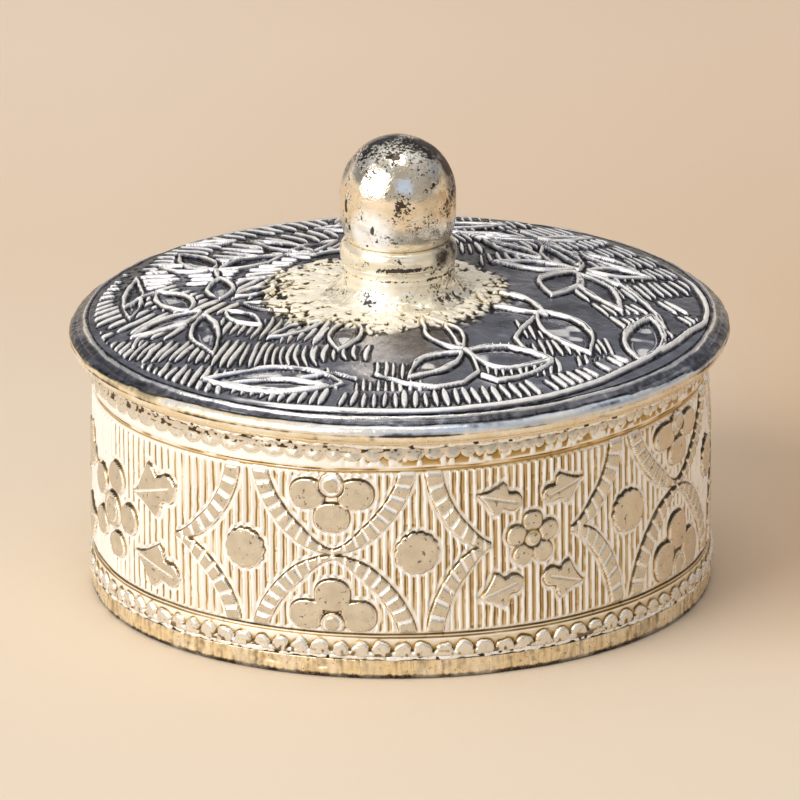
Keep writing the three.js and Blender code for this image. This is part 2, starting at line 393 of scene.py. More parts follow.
def field_ornament(from_small, from_large, p, w):
    """Height, signed distance and white gaps of the field's ornament.

    It is laid out by distances along the wall from a small panel, a large panel and a crossing, and by the
    height over the field's middle: ropes that cross, a scalloped disc on each side of a crossing, half
    flowers on the scribed lines, an open flower in each panel, and three-lobed leaves round the flowers.
    """
    drop = FIELD_HALF - np.abs(w)
    body, edge, gaps = strand(p, drop, 7.25, FIELD_HALF - 0.25, 9, 1.5, 0.3)
    body = body * (1.0 - 0.7 * bell(w, 0.13) * smooth(4.6, 2.6, np.abs(p)))
    parts = [(body, edge)]
    for reach, side, half in ((15.7, -1.0, 5.9), (17.7, 1.0, 7.5)):
        from_tip = p * side - reach
        body, rim, cuts = strand(from_tip, drop, half, FIELD_HALF + 0.1, 8, 1.65, 0.25)
        shown = smooth(-0.3, -0.5, from_tip)
        gaps = np.maximum(gaps, cuts * shown)
        parts.append((body * shown, np.where(from_tip < -0.35, rim, -1.0)))
    near_p = np.abs(p) - np.where(p < 0.0, 8.15, 8.9)
    near, turn = np.hypot(near_p, w), np.arctan2(w, near_p)
    scallop = 2.0 + 0.14 * np.abs(np.cos(turn * 7.0)) - near
    parts.append((island(scallop) * (1.0 + 0.12 * smooth(2.0, 0.4, near)), scallop))
    upper = half_flower(p, drop, (2.35, 2.15, 1.75, 1.5), (4.45, 1.75, 1.5), 1.25)
    lower = half_flower(p, drop, (2.55, 1.85, 1.7, 1.6), (3.95, 1.75, 1.7), 1.0)
    parts.append([np.where(w > 0.0, one, other) for one, other in zip(upper, lower)])
    parts.append(flower(from_large, w + 0.6, 5, 3.8, 1.5, 1.65, 0.0, 1.95))
    parts.append(flower(from_small, w, 5, 1.75, 1.0, 1.0, math.pi / 2.0, 0.85))
    for across, up, tip, heading, length in (
        (np.abs(from_large), w, (4.5, 2.6), math.radians(15.0), 7.5),
        (np.abs(from_large), -w, (5.0, 3.4), math.radians(14.0), 7.5),
        (np.abs(from_small), np.abs(w), (5.7, 5.2), math.radians(197.0), 4.9),
    ):
        leaf, rib = lobed_leaf(across, up, tip, heading, length)
        gaps = np.maximum(gaps, rib * island(leaf))
        parts.append((island(leaf) * (1.0 - 0.45 * rib), leaf))
    return np.max([part[0] for part in parts], 0), np.max([part[1] for part in parts], 0), gaps


def field_relief(angle, height, settings):
    """Relief of the drum's field over the wall in millimetres, its flat tops, dark lines and painted
    highlights.

    The ornament repeats after half a turn and is nearly alike above and below the middle of the field. The
    middle leans: it lies lower on the left and higher on the right, by x(0.148t - 0.128t*t) at the share t
    of the field's height. Upright flutes fill what is left, each one a crest with dark valleys beside it.
    """

    def noise(upright, size, seed):
        """Noise on the wall, drawn out upwards where the first number is under 1."""
        return round_drift(angle, WALL_RADIUS, height * upright, size, seed)

    laid = np.radians(np.interp((np.degrees(angle) + 155.0) % 360.0 - 155.0, STRETCH_AT, STRETCH_TO))
    from_small = wrapped(laid - SMALL_PANEL, math.pi) * WALL_RADIUS
    from_large = wrapped(laid - SMALL_PANEL - math.pi / 2.0, math.pi) * WALL_RADIUS * STRETCH
    p = np.abs(from_small) - CROSSING * WALL_RADIUS
    share = (height - LOWER_LINE) / (UPPER_LINE - LOWER_LINE)
    w = height - FIELD_MIDDLE - WALL_RADIUS * np.sin(angle) * (0.148 * share - 0.128 * share**2)
    drop = FIELD_HALF - np.abs(w)
    body, edge, gaps = field_ornament(from_small, from_large, p, w)
    inside_field = smooth(0.12, 0.42, drop)

    spread = np.interp((np.degrees(angle) + 90.0) % 180.0 - 90.0, FLUTE_AT, FLUTE_TO) / 180.0
    sway = 0.09 * noise(0.3, 1.7, 3) + 0.05 * noise(0.8, 0.6, 19)
    beat = (spread * settings.flute_count / 2.0 + sway) % 1.0
    crest = smooth(0.26, 0.12, np.abs(beat - 0.3))
    clear = smooth(-0.1, -0.4, edge)
    flutes = settings.flute_depth / MM * (crest - 0.4) * (1.0 + 0.4 * noise(0.35, 1.3, 4)) * clear
    moat = -0.05 * bell(edge + 0.16, 0.14)
    lift = flutes + moat + settings.motif_height / MM * np.clip(body, 0.0, 1.2)

    narrow = 0.1 - 0.015 * smooth(0.0, -0.5, np.sin(angle))
    valley = np.maximum(bell(beat - 0.68, narrow), 0.6 * bell(beat - 0.03, 0.05))
    valley = valley * smooth(-0.25, -0.5, edge) * np.clip(1.0 + 0.9 * noise(0.4, 0.9, 8), 0.15, 1.1)
    outline = bell(edge + 0.04, 0.085) * (0.8 + 0.6 * noise(1.0, 0.7, 14))
    flanks = 2.6 * gaps * (1.0 - gaps)
    cut = clipped(np.maximum(np.maximum(valley, flanks), 1.15 * outline * (1.0 - gaps))) * inside_field
    # Painted highlights: a white glow round each motif, the crests of the flutes, and the cuts between blocks
    # and along leaf ribs
    glow = smooth(-0.55, -0.2, edge) * smooth(-0.02, -0.12, edge)
    bright = np.maximum(np.maximum(0.85 * gaps, 0.7 * glow), 0.6 * crest * clear) * inside_field
    # Painted highlight under the upper scribed line, laid over the painted shade at the top ends of the motifs
    bright = np.maximum(bright, 0.85 * smooth(0.8, 0.5, drop) * (w > 0.0) * smooth(0.2, 0.6, body))
    return lift * inside_field, smooth(0.74, 0.95, body) * inside_field, cut, bright


def frieze_relief(angle, height, settings):
    """Relief of the two friezes, their flat tops, their dark places and their painted highlights: lobes
    standing up from the foot, and lobes that hang from the mouth. A lobe's edge is half an ellipse over one
    bead's width."""

    def noise(upright, size, seed):
        """Noise on the wall, drawn out upwards where the first number is under 1."""
        return round_drift(angle, FRIEZE_RADIUS, height * upright, size, seed)

    count = settings.bead_count
    pitch = 2.0 * math.pi * FRIEZE_RADIUS / count
    uneven = noise(0.2, 1.7, 5)
    ragged_step = noise(1.0, 0.6, 15)
    s = wrapped(angle + 0.006 * uneven + 0.004 * ragged_step, 2.0 * math.pi / count) * FRIEZE_RADIUS
    rise = np.sqrt(clipped(1.0 - (s / (0.42 * pitch)) ** 2))
    dented = 0.24 * noise(1.0, 0.8, 6)
    stand = 2.78 + (0.9 + dented + 0.12 * uneven) * rise - height
    lower = smooth(-0.05, 0.16, stand) * (0.8 + 0.25 * rise)
    shoulder = bell(height - 4.08, 0.12)
    passed = np.interp(np.degrees(wrapped(angle)), LOBE_AT, LOBES_PASSED) + 0.16 * uneven
    swell = clipped(1.0 - 4.0 * wrapped(passed, 1.0) ** 2)
    hang = height - (22.55 - (0.6 + 0.5 * dented) * swell**0.6)
    upper = smooth(-0.05, 0.14, hang)
    drops = smooth(-0.05, 0.3, noise(0.3, 0.45, 17))
    teeth = smooth(-0.5, 0.1, np.sin(angle)) * smooth(0.0, -0.12, hang) * smooth(21.25, 21.45, height)
    low_lift = 0.36 * lower * (1.0 + 0.2 * uneven) + 0.08 * shoulder
    high_lift = upper * (0.12 + 0.19 * swell * smooth(23.2, 22.2, height)) + 0.14 * teeth * drops
    at_foot = height < FIELD_MIDDLE
    top = np.where(at_foot, 0.65 * smooth(0.7, 0.9, lower), 0.75 * smooth(0.6, 0.95, upper))
    under = bell(stand + 0.1, 0.09) * clipped(0.45 + 0.7 * ragged_step)
    # Painted highlight: a white cap just inside the top of each lobe over the foot
    caps = bell(stand - 0.12, 0.12) * clipped(0.9 + 0.8 * uneven)
    # Painted highlight: the plain band under the hanging lobes, and the drops of the teeth on the right
    between = smooth(-0.1, -0.25, hang) * smooth(21.3, 21.6, height) * 0.8
    between = between * (1.0 - teeth) + teeth * drops
    spots = smooth(0.05, 0.3, noise(1.0, 0.36, 16)) * smooth(3.2, 2.7, height)
    outline = bell(hang + 0.04, 0.1) * (0.75 + 0.4 * uneven)
    smudge = 0.55 * teeth * (1.0 - drops)
    under_line = 0.6 * bell(height - UPPER_LINE - 0.42 - 0.06 * uneven, 0.08)
    smudge = smudge + under_line * clipped(0.6 + uneven)
    ragged = smooth(0.1, 0.35, round_drift(angle, FRIEZE_RADIUS * 0.6, height, 0.24, 8))
    ragged = ragged * smooth(22.7, 22.85, height)
    dark = np.where(at_foot, under + 0.9 * spots, 0.8 * outline + smudge + ragged)
    return np.where(at_foot, low_lift, high_lift), top, dark, np.where(at_foot, caps, between)


def drum_surface(angle, height, settings):
    """Radius of the drum's outside, its flat tops, its dark places and its painted highlights: wall, friezes
    and pairs of scribed lines, with the waver of sheet worked by hand. The upper frieze leans like the lid:
    lower on the left."""
    lean = 0.02 * WALL_RADIUS * np.sin(angle)
    lower = smooth(LOWER_LINE + 0.1, LOWER_LINE - 0.1, height)
    upper = smooth(UPPER_LINE - 0.1, UPPER_LINE + 0.1, height - lean)
    band = np.maximum(lower, upper)
    base = WALL_RADIUS + 0.13 * band
    wobble = 0.05 * round_drift(angle, WALL_RADIUS, 0.0, 4.0, 9)
    lines = 0.0
    broken = 0.75 + 0.6 * round_drift(angle, WALL_RADIUS, 0.0, 1.4, 18)
    for level, strong, half in (
        (LOWER_LINE - 0.3, 1.0, 0.085),
        (LOWER_LINE, 0.8, 0.085),
        (UPPER_LINE + 0.06, 1.05, 0.14),
        (UPPER_LINE + 0.32, 1.3 * np.clip(broken, 0.3, 1.0), 0.085),
    ):
        off = height - level - wobble - (lean if level > FIELD_MIDDLE else 0.0)
        lines = lines + strong * bell(off, half)
    waver = 0.06 * round_drift(angle, WALL_RADIUS, height, 9.0, 11)
    waver = waver + 0.03 * round_drift(angle, WALL_RADIUS, height, 2.2, 12)
    dents = -0.06 * smooth(0.5, 0.85, round_drift(angle, WALL_RADIUS, height, 0.55, 13))
    frieze = frieze_relief(angle, height - np.where(height > FIELD_MIDDLE, lean, 0.0), settings)
    field = field_relief(angle, height, settings)
    relief, top, cut, bright = (np.where(band > 0.5, one, other) for one, other in zip(frieze, field))
    cut = clipped(cut + 0.75 * lines)
    return base + relief - 0.16 * lines + waver + dents, top, cut, bright


def worked_shade(outside, cut, bright, gain, step):
    """Shade of a worked wall from 0, dark, over 0.5 to 1, worn bright and painted highlight: its stand over
    its surroundings, painted shade on edges that face up, a painted highlight on edges that face down, dark in
    its cuts and white where painted highlights are given."""
    shade = stands_out(outside, 4, 4, gain)
    slope = np.gradient(outside, step, axis=1)
    # Painted shade on edges that face up and a painted highlight on edges that face down
    shade = shade + 0.5 * clipped(slope / 1.2) - 0.75 * clipped(-slope / 1.2 - 0.25)
    # White laid on where painted highlights are given
    shade = shade + bright * (0.9 - shade)
    return clipped(shade * (1.0 - 0.82 * cut))


# The lid's ornament, in millimetres from the axis: leaves as base, tip, and half widths on both sides
LID_LEAVES = (
    ((5.9, -16.2), (2.2, -8.1), 1.7, 1.9),
    ((6.5, -16.5), (14.6, -17.6), 1.9, 3.2),
    ((6.1, -17.0), (0.7, -22.7), 1.3, 2.1),
    ((7.5, -1.0), (14.2, -6.6), 2.1, 1.9),
    ((13.4, -5.6), (18.2, -15.6), 2.7, 2.1),
    ((22.8, -15.9), (24.2, -4.0), 2.1, 1.9),
    ((17.2, 6.4), (21.3, -3.9), 1.6, 1.5),
    ((17.0, 6.9), (14.6, -1.0), 1.6, 2.6),
    ((17.0, 7.7), (9.0, 8.9), 1.4, 1.4),
    ((17.4, 7.6), (14.2, 17.2), 2.2, 1.4),
    ((18.0, 7.8), (24.4, 7.4), 1.8, 1.2),
    ((13.7, 10.7), (8.2, 17.2), 1.3, 1.2),
    ((17.6, 14.0), (23.2, 8.6), 0.9, 1.0),
    ((-5.4, -23.4), (-18.8, -20.3), 2.6, 3.0),
    ((-6.5, -24.0), (-17.2, -21.6), 1.1, 1.5),
    ((-7.2, -8.6), (-12.7, -12.3), 1.0, 1.2),
    ((-4.5, -8.8), (-5.9, -16.2), 1.7, 1.7),
    ((-18.8, -4.3), (-17.8, -15.2), 1.2, 1.6),
    ((-18.8, -3.4), (-25.9, -8.1), 1.5, 1.5),
    ((-20.0, -2.9), (-23.5, 4.4), 1.5, 1.9),
    ((-17.2, -0.4), (-17.3, 6.6), 1.3, 1.5),
    ((-15.7, -0.2), (-11.3, 2.0), 1.3, 1.0),
    ((-16.6, -4.2), (-13.0, -8.9), 1.3, 1.2),
    ((-15.0, -2.3), (-9.4, -5.8), 1.1, 0.9),
    ((-25.9, -3.2), (-25.2, 10.4), 1.0, 1.1),
    ((-17.7, 9.2), (-21.2, 17.0), 1.6, 1.5),
    ((-18.2, 9.2), (-23.2, 13.0), 1.2, 1.2),
    ((-17.2, 9.0), (-10.8, 12.6), 2.0, 1.6),
    ((-10.8, 12.4), (-5.8, 17.2), 1.3, 1.4),
    ((-8.0, 12.5), (-14.5, 19.5), 1.3, 1.2),
    ((2.0, 22.5), (10.5, 24.5), 1.4, 1.3),
    ((1.0, 21.0), (-8.5, 23.5), 1.4, 1.5),
    ((0.5, 19.5), (-4.0, 11.5), 1.6, 1.5),
    ((6.0, 20.0), (13.6, 17.6), 1.0, 1.1),
    ((13.5, 18.5), (18.6, 20.6), 0.9, 1.0),
    ((-15.5, 20.0), (-20.5, 20.5), 0.9, 0.9),
)

# Distances that stand for no outline near and for no stroke here
FAR = 99.0
NO_STROKE = -9.0

# Stems and veins of the lid as runs of points
LID_STEMS = (
    ((-2.2, -21.8), (0.6, -23.8), (3.5, -24.5), (6.0, -23.4), (7.5, -21.0), (7.0, -18.0), (6.3, -16.4)),
    ((7.8, -21.8), (9.3, -22.8), (11.4, -21.9), (13.4, -20.0), (14.5, -18.2)),
    ((12.8, -7.6), (11.5, -10.8), (11.1, -13.0), (11.9, -15.7)),
    ((25.3, -7.0), (24.8, -4.0), (23.7, -1.0), (22.6, 1.6), (21.2, 4.0), (18.2, 6.6)),
    ((4.2, -10.0), (5.3, -13.4), (5.9, -16.0)),
    ((6.2, 19.8), (8.5, 19.6), (11.0, 18.4), (13.2, 17.6), (15.4, 13.6), (17.2, 9.6)),
    ((12.0, 21.4), (13.6, 19.0), (15.2, 18.0), (17.0, 18.4)),
    ((-17.4, 6.4), (-17.5, 9.0)),
    ((-20.5, -6.5), (-25.0, -8.4), (-25.4, -10.6)),
    ((-23.6, 4.0), (-25.2, 2.6), (-26.4, 0.6)),
    ((-11.0, 12.6), (-8.0, 12.0), (-5.0, 13.4)),
    ((-9.2, -21.6), (-6.4, -21.0), (-4.2, -22.6)),
    ((0.0, 19.0), (1.5, 21.8), (6.2, 20.0)),
)


def leaf_edge(x, y, base, tip, left, right):
    """Signed distance inside a pointed leaf: its half width is a side's width times the sine of half a
    turn run along the leaf, and past its ends it is the distance from them."""
    run_x, run_y = tip[0] - base[0], tip[1] - base[1]
    length = math.hypot(run_x, run_y)
    run = ((x - base[0]) * run_x + (y - base[1]) * run_y) / length
    off = ((y - base[1]) * run_x - (x - base[0]) * run_y) / length
    side = np.where(off > 0.0, left, right)
    share = clipped(run / length)
    half = side * np.sin(math.pi * share**0.85)
    past = np.maximum(np.maximum(-run, run - length), 0.0)
    return np.where(past > 0.0, -np.hypot(off, past), (half - np.abs(off)) * 0.93)


def stem_distance(x, y, points):
    """Distance from a run of straight pieces: the least of the distances from each piece."""
    least = np.full(np.shape(x), FAR)
    for (ax, ay), (bx, by) in zip(points[:-1], points[1:]):
        run_x, run_y = bx - ax, by - ay
        share = clipped(((x - ax) * run_x + (y - ay) * run_y) / (run_x**2 + run_y**2))
        least = np.minimum(least, np.hypot(x - ax - share * run_x, y - ay - share * run_y))
    return least


def strokes(x, y, centre_y, first, length, pitch, half_width, seed):
    """Signed distance inside chased strokes, the middle of each point's stroke, and a share hashed for it.

    Rings of one width about a place on the Y axis each hold a row of strokes, and all of them point to
    that place. A stroke narrows to both ends, and hashed shares say how long it is and how it leans and
    shifts.
    """
    out, turn = np.hypot(x, centre_y - y), np.arctan2(x, centre_y - y)
    row = np.floor((out - first) / length)
    middle = first + (row + 0.5) * length
    count = np.maximum(np.round(2.0 * math.pi * middle / pitch), 1.0)
    around = turn / (2.0 * math.pi) * count
    lane = np.floor(around)
    long, lean, shift, slide, chance = (hashed(lane, row, number, seed) for number in range(5))
    down = (out - middle) / length * 2.0 - (slide - 0.5) * 0.3
    across = (around - lane - 0.5) * 2.0 * math.pi * out / count
    across = across - (lean - 0.5) * 0.3 * down - (shift - 0.5) * 0.16
    reach = 0.72 + 0.26 * long
    half = half_width * (0.75 + 0.5 * long) * clipped(1.0 - np.abs(down / reach) ** 3.5)
    past = np.maximum(np.abs(down) - reach, 0.0) * length / 2.0
    lane_turn = (lane + 0.5) / count * 2.0 * math.pi
    spot = middle * np.sin(lane_turn), centre_y - middle * np.cos(lane_turn)
    return half - np.hypot(across, past), spot, chance


# Radius of the wavering ridge at the plate's edge, by degrees from the front round to the right
EDGE_RIDGE_AT_DEGREES = (0, 25, 42, 52, 62, 72, 76, 83, 88, 100, 112, 130, 150, 180, 225, 270, 315, 340, 360)
EDGE_RIDGE_RADII = (
    *(29.42, 29.2, 28.6, 28.1, 28.1, 28.35, 28.6, 29.5, 29.5, 29.25),
    *(28.8, 28.35, 28.8, 29.1, 29.1, 29.25, 29.2, 29.35, 29.42),
)

# Patches of chased strokes: the Y of the place that they point to, how long a row is, the pitch and half
# width of a stroke, the side of the lid in X, and the lowest and highest Y. Most of the lid shares one
# place, and its left side has others in the middle and towards the back.
STROKE_PATCHES = (
    (46.0, 4.3, 0.8, 0.17, 1.0, -99.0, 99.0),
    (46.0, 6.0, 0.84, 0.18, -1.0, -99.0, -8.0),
    (19.5, 6.2, 1.3, 0.24, -1.0, -8.0, 5.0),
    (3.5, 5.4, 1.25, 0.24, -1.0, 5.0, 99.0),
)


def lid_noise(x, y):
    """Value noise over the lid, as a function of a level of its own, a size and a seed."""
    return lambda level, size, seed: drift(x, y, level, size, seed)


def leaves_and_stems(x, y, worn):
    """The lid's leaves and stems: how far off the nearest outline is, the leaves' sunk insides, the ridges
    along their outlines, and what is white and black on them.

    A ridge is white over its width and black beside it, and where it is thick it is split by a black line.
    A vein follows some outlines inside, and some of the sunk places are filled with white.
    """
    noise = lid_noise(x, y)
    warped_x = x + 0.1 * noise(0.0, 2.2, 21) + 0.06 * noise(0.0, 0.8, 43)
    warped_y = y + 0.1 * noise(9.0, 2.2, 22) + 0.06 * noise(9.0, 0.8, 44)
    away, inner, hollow = np.full_like(x, FAR), np.full_like(x, FAR), np.zeros_like(x)
    for base, tip, left, right in LID_LEAVES:
        centre_x, centre_y = (base[0] + tip[0]) / 2.0, (base[1] + tip[1]) / 2.0
        reach = math.hypot(tip[0] - base[0], tip[1] - base[1]) / 2.0 + 3.0
        near = np.hypot(x - centre_x, y - centre_y) < reach
        edge = leaf_edge(warped_x[near], warped_y[near], base, tip, left, right)
        away[near] = np.minimum(away[near], np.abs(edge - 0.15))
        inner[near] = np.minimum(inner[near], np.abs(edge - 0.82))
        hollow[near] = np.maximum(hollow[near], smooth(0.5, 0.75, edge))
    for run in LID_STEMS:
        away = np.minimum(away, stem_distance(warped_x, warped_y, run))
    thick = 0.15 + 0.07 * smooth(1.0, 8.0, x) + 0.12 * noise(3.0, 1.6, 23)
    vein = bell(inner, 0.09) * smooth(-0.25, 0.25, noise(6.0, 2.4, 45))
    white = smooth(thick + 0.05, thick - 0.05, away) * clipped(worn)
    black = 1.3 * bell(away - thick - 0.15, 0.12)
    return SimpleNamespace(
        away=away,
        hollow=hollow,
        ridge=smooth(thick + 0.08, thick - 0.1, away),
        white=np.maximum(white, 0.7 * vein),
        black=np.maximum(black, 0.8 * bell(inner - 0.2, 0.1) * (vein > 0.02)),
        split=0.9 * bell(away, 0.06) * smooth(0.23, 0.26, thick),
        filled=0.6 * hollow * smooth(0.0, 0.35, noise(2.0, 1.3, 47)),
    )


def edge_ridge(angle, radius):
    """Distance outwards from the ridge at the plate's edge, and how much of it shows: none at the back."""
    turn = np.degrees(angle) % 360.0
    ring_at = np.interp(turn, EDGE_RIDGE_AT_DEGREES, EDGE_RIDGE_RADII)
    ring_at = ring_at + 0.08 * round_drift(angle, 29.0, 0.0, 2.4, 24)
    return radius - ring_at, np.maximum(smooth(322.0, 345.0, turn), smooth(120.0, 95.0, turn))


def ground_strokes(angle, radius, x, y):
    """Signed distance inside the strokes of the ground: patches of them where noise is over a level that
    depends on the place, and a row of ticks inside the front edge."""
    noise = lid_noise(x, y)
    warped_x = x + 1.3 * noise(4.0, 8.0, 27) + 0.14 * noise(4.0, 1.7, 29)
    warped_y = y + 1.3 * noise(5.0, 8.0, 28) + 0.14 * noise(5.0, 1.7, 30)
    front = np.abs(wrapped(angle - 0.15)) < 0.78
    inside = np.full_like(x, NO_STROKE)
    for centre, length, pitch, half, side, lowest, highest in STROKE_PATCHES:
        mark, (spot_x, spot_y), chance = strokes(warped_x, warped_y, centre, 0.0, length, pitch, half, 31)
        patch = drift(spot_x, spot_y, 4.0, 5.0, 33) + 0.3 * (chance - 0.5)
        out = np.hypot(spot_x, spot_y)
        beside = smooth(16.0, 24.0, out) * smooth(6.0, 12.0, np.abs(spot_x)) * smooth(12.0, 4.0, spot_y)
        level = 0.32 - 0.8 * beside + 0.4 * (out < 13.0) - 0.9 * (side < 0.0)
        level = level - 0.3 * smooth(-12.0, -16.0, spot_y) - 0.6 * smooth(8.0, 14.0, spot_y)
        shown = (patch > level) & (out > 11.5) & (spot_x * side > -7.0 * side)
        shown = shown & (spot_y > lowest) & (spot_y <= highest) & ~(front & (radius > 25.0))
        inside = np.maximum(inside, np.where(shown, mark, NO_STROKE))
    tick, _, chance = strokes(x, y, 0.0, 25.2, 3.5, 0.98, 0.23, 34)
    shown = front & (radius > 25.2) & (radius < 28.7) & (chance > 0.08)
    return np.maximum(inside, np.where(shown, tick, NO_STROKE))


def solder_pool(x, y, radius):
    """How much gilt solder covers each point round the knob, and the lumps and pits in its crust."""
    noise = lid_noise(x, y)
    reach = 10.8 + 1.4 * noise(2.0, 2.4, 34) + 0.9 * noise(3.0, 0.9, 35)
    pool = smooth(1.6, -0.8, np.hypot((x + 2.2) * 0.9, y - 0.2) - reach) * smooth(14.4, 12.0, radius)
    lumps = 0.13 * noise(5.0, 0.75, 36) + 0.08 * noise(6.0, 0.36, 37)
    level = 0.38 - 0.4 * smooth(8.5, 12.0, radius) - 0.3 * smooth(2.0, 7.0, x) * smooth(7.5, 9.0, radius)
    pitted = 0.75 * noise(7.0, 0.55, 38) + 0.5 * drift(x + y, y - x, 6.5, 0.5, 43)
    return pool, lumps, smooth(level, level + 0.16, pitted) * smooth(6.6, 8.0, radius)


def lid_relief(angle, radius, settings):
    """Relief of the lid in millimetres over its dome, its shade, and how much solder covers each point.

    Leaves, stems, the ridge at the edge and the strokes of the ground stand up and are worn white, partly as a
    painted highlight, with black beside them. The ground between has painted shade towards the back and is
    painted lighter towards the front, and the whites are dimmed towards the back as painted shade. The crust
    of solder covers them round the knob.
    """
    x, y = radius * np.sin(angle), -radius * np.cos(angle)
    noise = lid_noise(x, y)
    worn = 0.85 + 0.35 * noise(6.0, 1.1, 26)
    leaf = leaves_and_stems(x, y, worn)
    from_ring, bold = edge_ridge(angle, radius)
    ring = smooth(0.34, 0.12, np.abs(from_ring)) * bold
    ring_black = (bell(from_ring + 0.52, 0.17) + bell(from_ring - 0.42, 0.12)) * bold
    mark = ground_strokes(angle, radius, x, y)
    room = 0.65 * bold
    clear = smooth(0.36, 0.5, leaf.away) * (1.0 - leaf.hollow) * smooth(-room, -room - 0.2, from_ring)
    stroke = smooth(-0.06, 0.08, mark) * clear
    stroke_black = smooth(-0.38, -0.16, mark) * (1.0 - smooth(-0.08, 0.02, mark)) * clear
    pool, lumps, pits = solder_pool(x, y, radius)

    softer = 0.5 * np.exp(-(((x + 12.0) / 6.0) ** 2) - ((y + 10.0) / 5.0) ** 2)
    black = clipped(np.maximum(leaf.black, np.maximum(ring_black, stroke_black * (1.0 - softer))))
    # Painted shade: the white of the strokes and of the leaves is dimmed towards the back
    stroke_white = stroke * clipped(0.75 + 0.4 * worn) * (1.0 - 0.38 * smooth(2.0, 9.0, y) - softer)
    white = np.maximum(np.maximum(leaf.white * (1.0 - 0.3 * smooth(4.0, 12.0, y)), ring), stroke_white)
    black = np.maximum(black * (1.0 - smooth(0.4, 0.8, white)), leaf.split)
    white = np.maximum(white, leaf.filled)

    lift = settings.ridge_height / MM * np.maximum(leaf.ridge, ring) - 0.1 * leaf.hollow - 0.08 * black
    lift = lift + settings.stroke_height / MM * stroke
    lift = lift * (1.0 - 0.45 * pool) + pool * (0.14 + lumps - 0.22 * pits)
    lift = lift + 0.04 * noise(1.0, 2.8, 39) + 0.016 * noise(8.0, 0.5, 40)
    # Painted shade on the ground towards the back, painted light towards the front
    ground = 0.38 + 0.09 * smooth(-8.0, -17.0, y) - 0.17 * smooth(3.0, 11.0, y) - 0.06 * leaf.hollow
    ground = ground + 0.12 * noise(2.5, 1.1, 41) + 0.08 * noise(2.5, 4.0, 42)
    shade = (ground + (1.0 - ground) * white) * (1.0 - 0.98 * black)
    gold = 0.93 + 1.8 * lumps - 1.5 * pits + 0.25 * white - 0.6 * black
    shade = shade * (1.0 - pool) + pool * gold
    return lift * smooth(PLATE_RADIUS, PLATE_RADIUS - 0.12, radius), clipped(shade), pool


def dome_height(radius):
    """Height of the lid's top: a shallow cap, level inside the knob's seat."""
    return PLATE_EDGE_TOP + DOME_RISE * (1.0 - (np.maximum(radius, BASE_RADIUS) / PLATE_RADIUS) ** 2)


# Height of the level seat that the knob stands on
KNOB_SEAT_LEVEL = float(dome_height(BASE_RADIUS))


# Finishes


